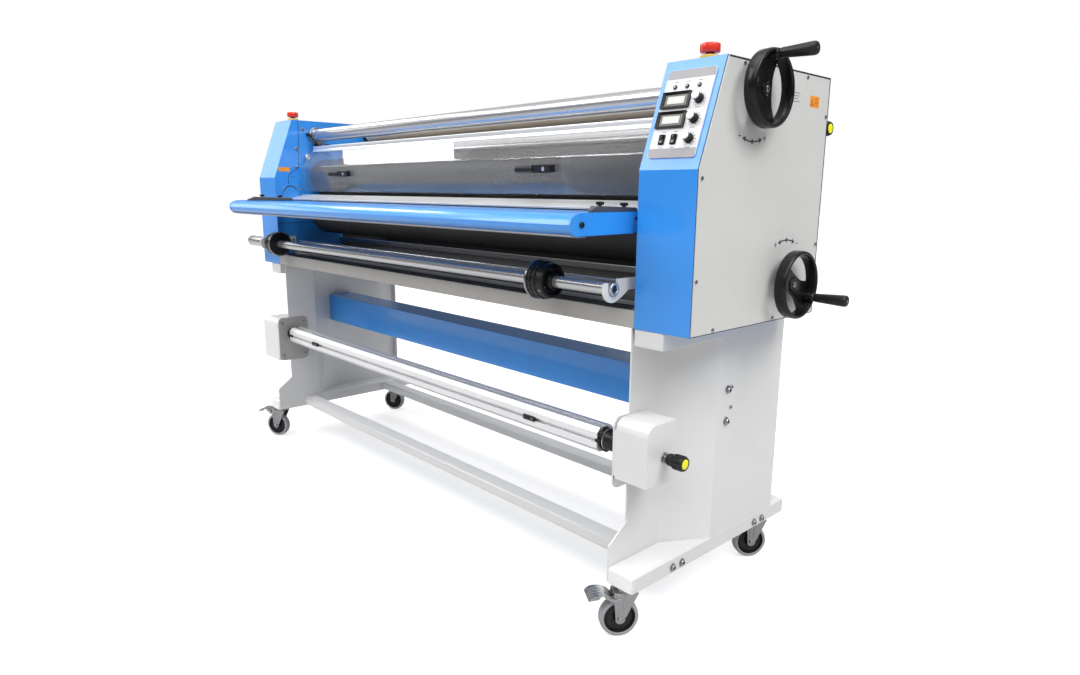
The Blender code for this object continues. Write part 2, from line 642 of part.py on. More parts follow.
def build_controls():
    slope = slope_matrix()
    low = GAP
    plate = prism("control_panel", "Z", rounded(PANEL_X, PANEL_S, 0.007), low, 0.0033)
    for s in METER_S:
        join(plate, prism("bezel", "Z", rounded(METER_X, s, 0.0015, 1), 0.0030, 0.0075))
        cut(plate, box("window", (METER_X[0] + 0.009, METER_X[1] - 0.009), (s[0] + 0.0065, s[1] - 0.0065), (0.0055, 0.01)))
    for x in LAMP_X:
        join(plate, lathe("lamp", "Z", (x, LAMP_S), [(0.0025, 0), (0.0025, 0.0045), (0.0055, 0.0045), (0.0075, 0.003), (0.0075, 0)], 8))
    for x in ROCKER_X:
        join(plate, box("frame", (x - 0.0066, x + 0.0066), (ROCKER_S - 0.0101, ROCKER_S + 0.0101), (0.0030, 0.0058)))
        cut(plate, box("well", (x - 0.0054, x + 0.0054), (ROCKER_S - 0.0089, ROCKER_S + 0.0089), (0.0016, 0.02)))
    plate.data.transform(slope)
    plate.data.flip_normals()
    finish(plate, "white", smooth=30)

    for index, s in enumerate(KNOB_S):
        profile = [
            (0.0038, 0), (0.0038, 0.0095), (0.0150, 0.0090), (0.0160, 0.0080),
            (0.0215, 0.0076), (0.0225, 0.0066), (0.0225, 0),
        ]
        knob = lathe("panel_knob_%d" % (index + 1), "Z", (KNOB_X, s), profile, 12)
        knob.data.transform(slope)
        knob.data.flip_normals()
        finish(knob, "black", slope @ Vector((KNOB_X, s, 0.0038)), smooth=32)

    for index, x in enumerate(ROCKER_X):
        shape = [(-0.0079, 0.0048), (0.0079, 0.0048), (0.0079, 0.0080), (0.0, 0.0068), (-0.0079, 0.0080)]
        tilt = math.radians(-ROCKER_TILT)
        turned = []
        for s, out in shape:
            rise = out - 0.0055
            turned.append((ROCKER_S + s * math.cos(tilt) - rise * math.sin(tilt), 0.0055 + s * math.sin(tilt) + rise * math.cos(tilt)))
        rocker = prism("rocker_%d" % (index + 1), "X", turned, x - 0.0049, x + 0.0049)
        rocker.data.transform(slope)
        rocker.data.flip_normals()
        finish(rocker, "black", slope @ Vector((x, ROCKER_S, 0.0055)))

    for name, spot in (("estop_right", ESTOP_RIGHT), ("estop_left", ESTOP_LEFT)):
        profile = [
            (1.2290, 0), (1.2290, 0.0095), (1.2525, 0.0095), (1.2525, 0.0175), (1.2545, 0.0198),
            (1.2575, ESTOP_R), (1.2690, ESTOP_R), (1.2710, 0.0185), (1.2710, 0),
        ]
        finish(lathe(name, "Z", spot, profile, 20), "red", (spot[0], spot[1], 1.2530), smooth=32)


# ----------------------------------------------------------------- casters
def place(obj, stem, direction):
    """Turn a caster piece so that its trail points along `direction`."""
    angle = math.atan2(direction[1], direction[0])
    obj.data.transform(Matrix.Translation((stem[0], stem[1], 0)) @ Matrix.Rotation(angle, 4, "Z"))


def caster(tag, stem, direction, braked):
    side = [
        (-0.020, 0.1110), (-0.022, 0.1030), (-0.010, 0.0840), (0.006, 0.0470), (0.010, 0.0380), (0.018, 0.0345),
        (0.026, 0.0380), (0.030, 0.0470), (0.034, 0.0870), (0.034, 0.1050), (0.031, 0.1110),
    ]
    fork = prism("fork_" + tag, "Y", side, -0.0187, 0.0187)
    cut(fork, box("slot", (-0.05, 0.06), (-0.0150, 0.0150), (0.0, 0.1070)))
    join(fork, rod("race", "Z", (0, 0), 0.0235, 0.1090, FOOT_Z0 - GAP, 16))
    join(fork, rod("axle", "Y", (TRAIL, TYRE_R), 0.0040, -0.0212, 0.0212, 10))
    place(fork, stem, direction)
    finish(fork, "zinc", (stem[0], stem[1], FOOT_Z0 - GAP), smooth=32)

    bore = 0.0044
    profile = [
        (-0.0140, bore), (-0.0140, 0.0110), (-0.0112, 0.0135), (-0.0125, 0.0385), (-0.0112, 0.0432), (-0.0075, TYRE_R),
        (0.0075, TYRE_R), (0.0112, 0.0432), (0.0125, 0.0385), (0.0112, 0.0135), (0.0140, 0.0110), (0.0140, bore),
    ]
    wheel = lathe("wheel_" + tag, "Y", (TRAIL, TYRE_R), profile, 24, ring=True)
    place(wheel, stem, direction)
    hub = (stem[0] + TRAIL * direction[0], stem[1] + TRAIL * direction[1], TYRE_R)
    finish(wheel, "tyre", hub, smooth=35)

    if not braked:
        return
    plate = [
        (0.0370, 0.0920), (0.0360, 0.0970), (0.0420, 0.1040), (0.0600, 0.1100), (0.0820, 0.1080),
        (0.0930, 0.0985), (0.0905, 0.0965), (0.0810, 0.1045), (0.0600, 0.1065), (0.0440, 0.1010), (0.0400, 0.0940),
    ]
    pedal = prism("pedal_" + tag, "Y", plate, -0.0260, 0.0260)
    tread = [
        (0.030, -0.0212), (0.052, -0.0212), (0.062, -0.0250), (0.100, -0.0250),
        (0.100, 0.0250), (0.062, 0.0250), (0.052, 0.0212), (0.030, 0.0212),
    ]
    combine(pedal, prism("tread", "Z", tread, 0.08, 0.13), "INTERSECT")
    for edge in (-1, 1):
        near, far = sorted((edge * 0.0191, edge * 0.0212))
        arm = [(0.0200, 0.0880), (0.0400, 0.0890), (0.0400, 0.0950), (0.0370, 0.0965), (0.0200, 0.0955)]
        join(pedal, prism("arm", "Y", arm, near, far))
    place(pedal, stem, direction)
    spot = (stem[0] + 0.025 * direction[0], stem[1] + 0.025 * direction[1], 0.0920)
    finish(pedal, "zinc", spot)


def unit(direction):
    length = math.hypot(direction[0], direction[1])
    return (direction[0] / length, direction[1] / length)


def build_casters():
    for side, tag, direction in ((1, "right", unit(ROLL_RIGHT)), (-1, "left", unit(ROLL_LEFT))):
        caster("front_" + tag, (side * CASTER_X, CASTER_FRONT), direction, True)
        caster("rear_" + tag, (side * CASTER_X, CASTER_REAR), direction, False)


# -------------------------------------------------------------------- build
clear_scene()
build_stand()
build_heads()
build_cross_members()
build_table()
build_shield()
build_rollers()
build_supply()
build_takeup()
handwheel("upper_handwheel", UPPER_WHEEL, UPPER_CRANK_DEG)
handwheel("lower_handwheel", LOWER_WHEEL, LOWER_CRANK_DEG)
build_controls()
build_casters()
for piece in FINISHED:
    piece.location.x += SHIFT_X
    piece.location.y += SHIFT_Y
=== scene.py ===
"""Looks of the wide roll laminator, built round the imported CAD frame."""
import bpy
import bmesh
import math
from mathutils import Matrix, Vector


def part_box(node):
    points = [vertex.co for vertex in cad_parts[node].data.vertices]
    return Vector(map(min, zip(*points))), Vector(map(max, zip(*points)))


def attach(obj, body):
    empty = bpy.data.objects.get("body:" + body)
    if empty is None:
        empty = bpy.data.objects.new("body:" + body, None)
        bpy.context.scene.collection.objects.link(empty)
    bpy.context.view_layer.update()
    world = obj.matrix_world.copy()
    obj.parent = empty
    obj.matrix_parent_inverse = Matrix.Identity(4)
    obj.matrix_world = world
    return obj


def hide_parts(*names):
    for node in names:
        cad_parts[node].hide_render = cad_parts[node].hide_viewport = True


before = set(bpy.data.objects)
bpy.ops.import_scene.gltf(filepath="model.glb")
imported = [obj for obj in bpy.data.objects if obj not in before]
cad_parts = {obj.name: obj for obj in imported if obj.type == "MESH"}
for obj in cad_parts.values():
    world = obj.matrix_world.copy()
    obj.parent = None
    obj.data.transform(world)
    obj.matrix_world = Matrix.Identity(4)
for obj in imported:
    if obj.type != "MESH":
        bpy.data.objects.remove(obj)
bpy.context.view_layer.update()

# Machine coordinates in millimetres: x from half way between the housings, y
# from 300 mm behind their front, z from the floor. WORLD takes them to the
# CAD frame, which is in metres.
MM = 0.001
HEAD_FRONT = -300
LEFT_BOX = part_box("head_left")
RIGHT_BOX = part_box("head_right")
ORIGIN = Vector(((LEFT_BOX[0][0] + RIGHT_BOX[1][0]) / 2, RIGHT_BOX[0][1] - HEAD_FRONT * MM, 0.0))
WORLD = Matrix.Translation(ORIGIN) @ Matrix.Scale(MM, 4)
STAND = "stand"

# Planes along x: the housings' inner panels, the covers and the leg panels.
HEAD_IN = 885
COVER = 1030
LEG_OUT = 943.7

# (y, z) of edges and of axes along x.
HEAD_REAR = 195.6
HEAD_TOP = 1236.7
SLOPE_TOP = (-221.3, HEAD_TOP)
SLOPE_END = (HEAD_FRONT, 1020.7)
TOP_ROLLER = (-100, 1021.5)
BOTTOM_ROLLER = (-100, 881)
UPPER_SHAFT = (-126, 1183)
LINER = (100, 1193)
REAR_SHAFT = (228, 1128)
SUPPLY = (-343, 779)
IDLER = (-215, 774)
TAKEUP = (-273, 420)
UPPER_WHEEL = (-121, 1180)
LOWER_WHEEL = (48, 777)
CRANK_R = 64.5

# Caster stems.
STEM_X = 908
FRONT_STEM = -320
REAR_STEM = 222

# Control panel: x of its two columns of parts, distances down the slope.
KNOB_X = 991.5
KNOB_S = (87.7, 128.5, 168.8)
ROCKER_X = (926, 954.5)
ROCKER_S = 168.7


# ------------------------------------------------------------------ materials
def setup(node, **values):
    """Sets a node's inputs; an underscore in a name stands for a space."""
    for name, value in values.items():
        node.inputs[name.replace("_", " ")].default_value = value
    return node


class Nodes:
    """Small helper round a material's node tree."""

    def __init__(self, name):
        self.mat = bpy.data.materials.new(name)
        self.mat.use_nodes = True
        self.tree = self.mat.node_tree
        self.shader = self.tree.nodes["Principled BSDF"]
        self.coords = self.tree.nodes.new("ShaderNodeTexCoord")

    def noise(self, scale, stretch=(1, 1, 1), detail=3.0):
        mapping = setup(self.tree.nodes.new("ShaderNodeMapping"), Scale=stretch)
        self.tree.links.new(self.coords.outputs["Object"], mapping.inputs["Vector"])
        node = setup(self.tree.nodes.new("ShaderNodeTexNoise"), Scale=scale, Detail=detail, Roughness=0.55)
        self.tree.links.new(mapping.outputs["Vector"], node.inputs["Vector"])
        return node.outputs["Fac"]

    def ramp(self, value, low, high, colour_a, colour_b):
        node = self.tree.nodes.new("ShaderNodeValToRGB")
        node.color_ramp.elements[0].position = low
        node.color_ramp.elements[1].position = high
        node.color_ramp.elements[0].color = (*colour_a, 1)
        node.color_ramp.elements[1].color = (*colour_b, 1)
        self.tree.links.new(value, node.inputs["Fac"])
        return node.outputs["Color"]

    def range(self, value, low, high):
        node = setup(self.tree.nodes.new("ShaderNodeMapRange"), From_Min=0.3, From_Max=0.7, To_Min=low,
            To_Max=high)
        self.tree.links.new(value, node.inputs["Value"])
        return node.outputs["Result"]

    def bump(self, value, strength, distance):
        node = setup(self.tree.nodes.new("ShaderNodeBump"), Strength=strength, Distance=distance)
        self.tree.links.new(value, node.inputs["Height"])
        return node.outputs["Normal"]

    def link(self, value, socket):
        self.tree.links.new(value, self.shader.inputs[socket])


def shade(rgb, factor):
    return tuple(min(1.0, c * factor) for c in rgb)


def surface(name, rgb, rough, metallic=0.0, grain=900, depth=0.15, stretch=(1, 1, 1),
            tint=0.05, spread=0.06, coat=0.0, specular=0.5):
    """Solid finish: fine grain bump, faint cloudy tint, uneven roughness."""
    n = Nodes(name)
    cloud = n.noise(6.0, detail=4.0)
    n.link(n.ramp(cloud, 0.3, 0.7, shade(rgb, 1 - tint), shade(rgb, 1 + tint)), "Base Color")
    smudge = n.noise(38.0, stretch, detail=5.0)
    n.link(n.range(smudge, max(0.02, rough - spread), rough + spread), "Roughness")
    fine = n.noise(grain, stretch, detail=2.0)
    n.link(n.bump(fine, depth, 0.0004), "Normal")
    setup(n.shader, Metallic=metallic, Specular_IOR_Level=specular, Coat_Weight=coat, Coat_Roughness=0.08)
    return n.mat


BLUE = surface("blue_powder_coat", (0.026, 0.262, 0.76), 0.34, grain=1100, depth=0.1, tint=0.03, coat=0.6)
WHITE = surface("white_powder_coat", (0.67, 0.67, 0.665), 0.38, grain=1100, depth=0.12, tint=0.02,
    coat=0.25)
COVER_WHITE = surface("cover_powder_coat", (0.56, 0.56, 0.55), 0.42, grain=1300, depth=0.15, tint=0.025,
    coat=0.15)
# Grey paint of the lower tray; on the take-up plate faces the same grey is painted shade of the white
# boxes.
TRAY_PAINT_AND_PLATE_SHADE = surface("tray_paint_and_plate_shade", (0.4, 0.385, 0.365), 0.4, grain=1100, depth=0.12, tint=0.03)
# Near-black sheet: painted shade of the dark space under the rollers, laid in the tray.
TRAY_SHADE = surface("tray_painted_shade", (0.016, 0.016, 0.017), 0.6, grain=700, depth=0.2, tint=0.15,
    specular=0.3)
SEAM = surface("seam_shadow", (0.015, 0.018, 0.025), 0.8, grain=600, tint=0.2)
LIP_GREY = surface("lip_grey", (0.33, 0.33, 0.35), 0.45, metallic=0.2, stretch=(0.05, 1, 1), tint=0.06)
GUIDE = surface("guide_anodised", (0.125, 0.115, 0.105), 0.45, metallic=0.6, stretch=(0.2, 1, 1), tint=0.08)
RUBBER = surface("roller_rubber", (0.05, 0.049, 0.048), 0.55, grain=700, depth=0.12, tint=0.12,
    specular=0.25)
BLACK = surface("black_moulded", (0.007, 0.007, 0.008), 0.38, grain=1200, depth=0.2, tint=0.2, spread=0.08,
    specular=0.35)
BLACK_GLOSS = surface("black_gloss", (0.006, 0.006, 0.007), 0.24, grain=500, depth=0.05, tint=0.2,
    specular=0.3)
BLACK_STEEL = surface("black_oxide", (0.03, 0.03, 0.032), 0.4, metallic=0.7, grain=900, tint=0.15)
YELLOW = surface("yellow_cap", (0.86, 0.8, 0.01), 0.32, grain=1200, depth=0.1, tint=0.05)
ESTOP_YELLOW = surface("estop_yellow", (0.86, 0.52, 0.03), 0.35, grain=1200, depth=0.1, tint=0.05)
RED = surface("estop_red", (0.72, 0.028, 0.01), 0.26, grain=1200, depth=0.06, tint=0.06, coat=0.4)
ORANGE = surface("warning_orange", (0.8, 0.29, 0.02), 0.4, grain=900, depth=0.05, tint=0.04)
CAP_WHITE = surface("white_cap", (0.8, 0.8, 0.79), 0.3, grain=1200, depth=0.08, tint=0.03)
PANEL_LIGHT = surface("panel_film", (0.72, 0.71, 0.73), 0.4, grain=1500, depth=0.1, tint=0.02)
PANEL_GREY = surface("panel_band", (0.3, 0.29, 0.3), 0.42, grain=1500, depth=0.1, tint=0.03)
INK = surface("dark_ink", (0.03, 0.03, 0.032), 0.5, grain=1500, depth=0.05, tint=0.1)
LCD = surface("meter_glass", (0.36, 0.38, 0.34), 0.12, grain=300, depth=0.02, tint=0.04, coat=0.8)
CARD = surface("card_tube", (0.5, 0.42, 0.33), 0.8, grain=420, depth=0.5, stretch=(0.6, 1, 1), tint=0.1)
TYRE = surface("grey_tyre", (0.3, 0.31, 0.33), 0.55, grain=800, depth=0.2, tint=0.08)
CHROME = surface("hard_chrome", (0.56, 0.56, 0.565), 0.24, metallic=0.8, grain=700, depth=0.02,
    stretch=(0.02, 1, 1), tint=0.03, spread=0.04)
STEEL = surface("bright_steel", (0.36, 0.36, 0.37), 0.28, metallic=1, grain=900, depth=0.12, tint=0.05,
    spread=0.08)
BRUSHED = surface("brushed_steel", (0.34, 0.34, 0.35), 0.34, metallic=1, grain=500, depth=0.2,
    stretch=(0.02, 1, 1), tint=0.05)
ALU = surface("anodised_aluminium", (0.88, 0.88, 0.89), 0.36, metallic=0.75, grain=600, depth=0.15,
    stretch=(0.02, 1, 1), tint=0.02)
ZINC = surface("zinc_plate", (0.36, 0.36, 0.365), 0.28, metallic=0.95, grain=160, depth=0.08, tint=0.1,
    spread=0.1)


def clear_sheet(name):
    n = Nodes(name)
    cloud = n.noise(4.0)
    n.link(n.ramp(cloud, 0.3, 0.7, (0.93, 0.945, 0.95), (0.97, 0.98, 0.98)), "Base Color")
    smear = n.noise(30.0, (0.2, 1, 1), detail=5.0)
    n.link(n.range(smear, 0.010, 0.035), "Roughness")
    wave = n.noise(9.0, (0.3, 1, 1))
    n.link(n.bump(wave, 0.03, 0.0006), "Normal")
    setup(n.shader, Transmission_Weight=0.95, IOR=1.40, Alpha=0.34, Specular_IOR_Level=0.45)
    return n.mat


CLEAR = clear_sheet("clear_acrylic")


# -------------------------------------------------------------------- pieces
def lift(axis, along, p, q):
    if axis == "X":
        return Vector((along, p, q))
    if axis == "Y":
        return Vector((p, along, q))
    return Vector((p, q, along))


def span(side, a, b):
    """Low and high x of a part of the left (-1) or right (1) side."""
    return sorted((side * a, side * b))


def near(middle, reach):
    return middle - reach, middle + reach


def flip(side, profile):
    """The same profile on the other side of the machine for side -1."""
    return [(side * along, radius) for along, radius in profile]


def around(centre, radius, count, first=0):
    """Points on a circle, from `first` degrees on."""
    for k in range(count):
        a = math.radians(first + 360 * k / count)
        yield centre[0] + radius * math.cos(a), centre[1] + radius * math.sin(a)


def arc(centre, radius, start, stop, steps):
    points = []
    for i in range(steps + 1):
        a = math.radians(start + (stop - start) * i / steps)
        points.append((centre[0] + radius * math.cos(a), centre[1] + radius * math.sin(a)))
    return points


def rounded(p, q, radius, steps=6):
    points = []
    for u, v, start in ((1, 0, -90), (1, 1, 0), (0, 1, 90), (0, 0, 180)):
        centre = (p[u] + (radius if u == 0 else -radius), q[v] + (radius if v == 0 else -radius))
        points += arc(centre, radius, start, start + 90, steps)
    return points


def aim(point, direction):
    """Matrix that takes +Z to `direction` and the origin to `point`."""
    turn = Vector((0, 0, 1)).rotation_difference(Vector(direction)).to_matrix().to_4x4()
    return Matrix.Translation(Vector(point)) @ turn


class Piece:
    """One visible piece, collected from simple closed solids."""

    def __init__(self, name):
        self.name = name
        self.bm = bmesh.new()
        self.mats = []

    def _add(self, rows, faces, mat, place):
        if mat not in self.mats:
            self.mats.append(mat)
        index = self.mats.index(mat)
        verts = [self.bm.verts.new(place @ v if place else v) for v in rows]
        made = []
        for face in faces:
            made.append(self.bm.faces.new([verts[i] for i in face]))
            made[-1].material_index = index
        bmesh.ops.recalc_face_normals(self.bm, faces=made)
        return self

    def prism(self, mat, axis, points, low, high, place=None):
        count = len(points)
        rows = [lift(axis, low, p, q) for p, q in points] + [lift(axis, high, p, q) for p, q in points]
        faces = [tuple(range(count)), tuple(range(2 * count - 1, count - 1, -1))]
        faces += [(i, (i + 1) % count, (i + 1) % count + count, i + count) for i in range(count)]
        return self._add(rows, faces, mat, place)

    def box(self, mat, x, y, z, place=None):
        return self.prism(mat, "Z", [(x[0], y[0]), (x[1], y[0]), (x[1], y[1]), (x[0], y[1])], z[0], z[1],
            place)

    def turn(self, mat, axis, centre, profile, seg=48, place=None, ring=False):
        """Round solid through (along, radius) points, closed to its axis or as a ring."""
        if not ring:
            start, end = profile[0], profile[-1]
            profile = [(start[0], 0)] * (start[1] != 0) + profile + [(end[0], 0)] * (end[1] != 0)
        rows = []
        spans = []
        for along, radius in profile:
            first = len(rows)
            if radius == 0:
                rows.append(lift(axis, along, centre[0], centre[1]))
                spans.append([first] * seg)
                continue
            for k in range(seg):
                a = 2 * math.pi * k / seg
                rows.append(lift(axis, along, centre[0] + radius * math.cos(a),
                    centre[1] + radius * math.sin(a)))
            spans.append(list(range(first, first + seg)))
        pairs = list(zip(spans, spans[1:]))
        if ring:
            pairs.append((spans[-1], spans[0]))
        faces = []
        for a, b in pairs:
            for k in range(seg):
                m = (k + 1) % seg
                quad = []
                for index in (a[k], a[m], b[m], b[k]):
                    if index not in quad:
                        quad.append(index)
                if len(quad) > 2:
                    faces.append(tuple(quad))
        return self._add(rows, faces, mat, place)

    def rod(self, mat, axis, centre, radius, low, high, seg=32, place=None):
        e = min(radius, high - low) * 0.12
        profile = [(low, radius - e), (low + e, radius), (high - e, radius), (high, radius - e)]
        return self.turn(mat, axis, centre, profile, seg, place)

    def spin(self, mat, profile, seg, place, ring=False):
        return self.turn(mat, "Z", (0, 0), profile, seg, place, ring)

    def bolt(self, mat, point, direction, r=5, h=4, inner=None):
        """Socket-headed screw standing on `point`."""
        place = aim(point, direction)
        profile = [(-0.5, r), (h * 0.75, r), (h, r * 0.82), (h, r * 0.5), (h * 0.45, r * 0.46)]
        self.spin(mat, profile, 24, place)
        if inner:
            self.spin(inner, [(h * 0.46, r * 0.44), (h * 0.5, r * 0.44)], 6, place)
        return self

    def screw(self, point, direction, r, h):
        return self.bolt(STEEL, point, direction, r, h, INK)

    def done(self, body, slot, *replaced, bevel=0.0, smooth=35, segments=2):
        mesh = bpy.data.meshes.new(self.name)
        self.bm.to_mesh(mesh)
        self.bm.free()
        mesh.transform(WORLD)
        for mat in self.mats:
            mesh.materials.append(mat)
        return settle(mesh, self.name, body, replaced, bevel, smooth, segments)


def settle(mesh, name, body, replaced, bevel, smooth, segments=2):
    obj = bpy.data.objects.new(name, mesh)
    bpy.context.scene.collection.objects.link(obj)
    mesh.shade_smooth()
    mesh.set_sharp_from_angle(angle=math.radians(smooth))
    if bevel:
        mod = obj.modifiers.new("edge_radius", "BEVEL")
        mod.width = bevel * MM
        mod.segments = segments
        mod.limit_method = "ANGLE"
        mod.angle_limit = math.radians(38)
        mod.harden_normals = True
    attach(obj, body)
    if replaced:
        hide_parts(*replaced)
    return obj


def pressed(node, mat, body, bevel=0.8, segments=2):
    """The CAD node's own shape with its edges rounded."""
    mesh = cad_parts[node].data.copy()
    bm = bmesh.new()
    bm.from_mesh(mesh)
    bmesh.ops.remove_doubles(bm, verts=bm.verts, dist=0.00001)
    bmesh.ops.dissolve_limit(bm, angle_limit=math.radians(0.5), verts=bm.verts, edges=bm.edges)
    bm.to_mesh(mesh)
    bm.free()
    mesh.materials.clear()
    mesh.materials.append(mat)
    for polygon in mesh.polygons:
        polygon.material_index = 0
    return settle(mesh, node + "_skin", body, (node,), bevel, 32, segments)


def carry(node, mat):
    """Keeps a CAD node and gives it the finished material."""
    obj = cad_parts[node]
    obj.data.materials.clear()
    obj.data.materials.append(mat)


def slope_matrix():
    """(x, s down the slope, out of the slope) to machine coordinates."""
    sy = SLOPE_END[0] - SLOPE_TOP[0]
    sz = SLOPE_END[1] - SLOPE_TOP[1]
    length = math.hypot(sy, sz)
    sy, sz = sy / length, sz / length
    return Matrix(((1, 0, 0, 0), (0, sy, sz, SLOPE_TOP[0]), (0, sz, -sy, SLOPE_TOP[1]), (0, 0, 0, 1)))


SLOPE = slope_matrix()


# --------------------------------------------------------------------- stand
def build_stand():
    for node in ("side_frame_left", "side_frame_right"):
        pressed(node, WHITE, STAND, 2.2)
    for node in ("stretcher_front", "stretcher_rear"):
        pressed(node, WHITE, STAND, 2)
    pressed("cross_panel", BLUE, STAND, 1)
    bolts = Piece("frame_bolts")
    for side in (-1, 1):
        out = (side, 0, 0)
        for y, z in ((-16, 521), (-17, 443)):
            point = (side * LEG_OUT, y, z)
            bolts.spin(STEEL, [(0, 10.5), (1.2, 10.5), (1.6, 9.8)], 32, aim(point, out))
            bolts.screw((point[0] + side * 1.4, y, z), out, 7, 6.5)
        for y in (-203, -168, 146, 183):
            bolts.spin(STEEL, [(0, 9.5), (1.2, 9.5), (1.6, 8.8)], 32, aim((side * 944, y, 132), out))
            bolts.screw((side * 945.3, y, 132), out, 6.5, 5.5)
        for y in (-260, -90):
            bolts.screw((side * 925, y, 656), (0, 0, -1), 6.5, 5.5)
        for z in (475, 525):
            bolts.screw((side * LEG_OUT, 0, z), out, 4.5, 3)
    bolts.done(STAND, "steel")
    caps = Piece("foot_end_caps")
    for side in (-1, 1):
        low, high = span(side, 874.5, 941.5)
        caps.prism(CAP_WHITE, "Y", rounded((low, high), (117.5, 152.5), 4), 294.5, 297.2)
        caps.prism(CAP_WHITE, "Y", rounded((low, high), (117.5, 152.5), 4), -346.2, -343.5)
    caps.done(STAND, "white_paint", bevel=0.6)


# --------------------------------------------------------------------- heads
def seam_strip(piece, points, side, width=1.6):
    """Thin dark joint line on the inner panel, through (y, z) points."""
    x0, x1 = span(side, HEAD_IN - 0.4, HEAD_IN + 0.4)
    for (ya, za), (yb, zb) in zip(points, points[1:]):
        length = math.hypot(yb - ya, zb - za)
        ny, nz = -(zb - za) / length * width / 2, (yb - ya) / length * width / 2
        piece.prism(SEAM, "X", [(ya - ny, za - nz), (yb - ny, zb - nz), (yb + ny, zb + nz),
            (ya + ny, za + nz)], x0, x1)


def build_heads():
    for node in ("head_left", "head_right"):
        pressed(node, BLUE, STAND, 1.6)
    for node in ("side_cover_left", "side_cover_right"):
        pressed(node, COVER_WHITE, STAND, 0.5)
    screws = Piece("cover_screws")
    spots = ((-165, 1226.5), (88, 1226.5), (184, 1150), (-289, 1004), (-291, 806), (-225, 702.5),
        (10, 702.5), (140, 702.5), (184, 860))
    for side in (-1, 1):
        for y, z in spots:
            screws.screw((side * COVER, y, z), (side, 0, 0), 4.2, 2)
    screws.done(STAND, "steel")

    trim = Piece("head_edge_shadow")
    for side in (-1, 1):
        outline = [(HEAD_FRONT + 0.6, 694.2), (HEAD_REAR - 0.6, 694.2), (HEAD_REAR - 0.6, HEAD_TOP - 0.6),
            (SLOPE_TOP[0] + 0.4, HEAD_TOP - 0.6), (HEAD_FRONT + 0.6, SLOPE_END[1] - 0.2)]
        low, high = span(side, 1026.8, 1027.7)
        trim.prism(SEAM, "X", outline, low, high)
        low, high = span(side, 1029.7, 1030.2)
        trim.prism(SEAM, "X", [(-219, 1232.5), (-217, 1236.1), (195.2, 1236.1), (195.2, 1232.5)], low, high)
        trim.prism(SEAM, "X", [(191.8, 696), (195.2, 696), (195.2, 1233), (191.8, 1233)], low, high)
        trim.prism(SEAM, "X", [(-297.8, 695), (-297.8, 696.6), (193, 696.6), (193, 695)], low, high)
    trim.done(STAND, "black_plastic")

    inner = Piece("inner_panel_details")
    for side in (-1, 1):
        seam_strip(inner, ((-195, 1236.2), (-203, 1060), (-246, 1030), (-252, 938)), side)
        seam_strip(inner, ((-299, 850), (194, 850)), side)
        into = (-side, 0, 0)
        face = side * HEAD_IN
        for y, z, r in ((-178, 1204, 6.5), (-208, 1130, 6.5), (-212, 1061, 5), (-206, 955, 4.5)):
            inner.screw((face, y, z), into, r, r * 0.75)
        inner.spin(CHROME, [(0, 9.5), (9, 9.5), (11.5, 7.5)], 32, aim((face, -167, 1101), into))
        # pivot disc with its curved slot, and the roller bearing plate behind it
        inner.spin(BLUE, [(0, 34), (2.2, 34), (2.8, 33.4)], 64, aim((face, -242, 964), into))
        outer_arc = arc((-242, 964), 28.2, 20, 170, 24)
        inner_arc = arc((-242, 964), 23.8, 170, 20, 24)
        inner.prism(INK, "X", outer_arc + inner_arc, *span(side, HEAD_IN - 2.7, HEAD_IN - 3.1))
        inner.spin(BLUE, [(0, 15), (4, 15), (4.8, 14.2)], 48, aim((face, -207, 985), into))
        inner.spin(STEEL, [(0, 11.5), (5.2, 11.5), (5.2, 9.2), (0, 9.2)], 32, aim((face, -207, 985), into),
            ring=True)
        for y, z in ((-232, 1040), (-224, 1026), (-236, 1025)):
            inner.spin(INK, [(0, 2.2), (0.3, 2.2)], 16, aim((face, y, z), into))
        for y, z in ((-120, 720), (120, 720), (150, 1200), (150, 930), (60, 800)):
            inner.screw((face, y, z), into, 5.5, 4)
    inner.prism(ORANGE, "X", rounded((-284, -239), (1044, 1060), 1, 2), *span(-1, HEAD_IN, HEAD_IN - 0.4))
    inner.done(STAND, "steel")

    # brackets that carry the upper shaft, and its bearing housings
    carriers = Piece("upper_shaft_brackets")
    y, z = UPPER_SHAFT
    for side in (-1, 1):
        low, high = span(side, HEAD_IN, 868.5)
        hook = arc((y, z), 33.5, 180, 360, 20) + [(y + 33.5, z + 4), (y + 30.5, z + 4)]
        hook += arc((y, z), 30.5, 0, -180, 20) + [(y - 30.5, z + 4), (y - 33.5, z + 4)]
        carriers.prism(STEEL, "X", hook, low, high)
        carriers.prism(BLACK_STEEL, "X", [(y - 42, z + 6), (y - 35, z + 6), (y + 4, z - 36),
            (y + 46, z - 30), (y + 48, z - 35), (y, z - 43.5)], low, high)
        carriers.screw((side * 869, y + 20, z - 36.5), (-side, 0, 0), 4.5, 4)
    carriers.done(STAND, "steel", bevel=0.4)

    back = Piece("rear_panel_details")
    for side in (-1, 1):
        for row in range(6):
            z0 = 1080 + row * 14
            low, high = span(side, 925, 990)
            back.prism(INK, "Y", rounded((low, high), (z0, z0 + 5), 2.4, 4), HEAD_REAR - 0.2,
                HEAD_REAR + 0.3)
        for x in (895, 1018):
            for z in (715, 965, 1215):
                back.screw((side * x, HEAD_REAR, z), (0, 1, 0), 4.2, 2.5)
        back.prism(SEAM, "Y", [(side * 887.5, 698), (side * 888.5, 698), (side * 888.5, 1232),
            (side * 887.5, 1232)], HEAD_REAR - 0.2, HEAD_REAR + 0.2)
        y, z = REAR_SHAFT
        low, high = span(side, 884, 892.5)
        back.turn(STEEL, "X", (y, z), [(low, 8.6), (low, 15), (high, 15), (high, 8.6)], 40, ring=True)
    back.done(STAND, "steel")

    pressed("power_inlet", BLACK, STAND, 0.6)
    pins = Piece("power_inlet_pins")
    for x in (947, 955, 963):
        pins.box(BRUSHED, near(x, 1), (199.8, 204), (753, 759))
    pins.done(STAND, "steel")
    carry("drive_motor", BLACK_STEEL)


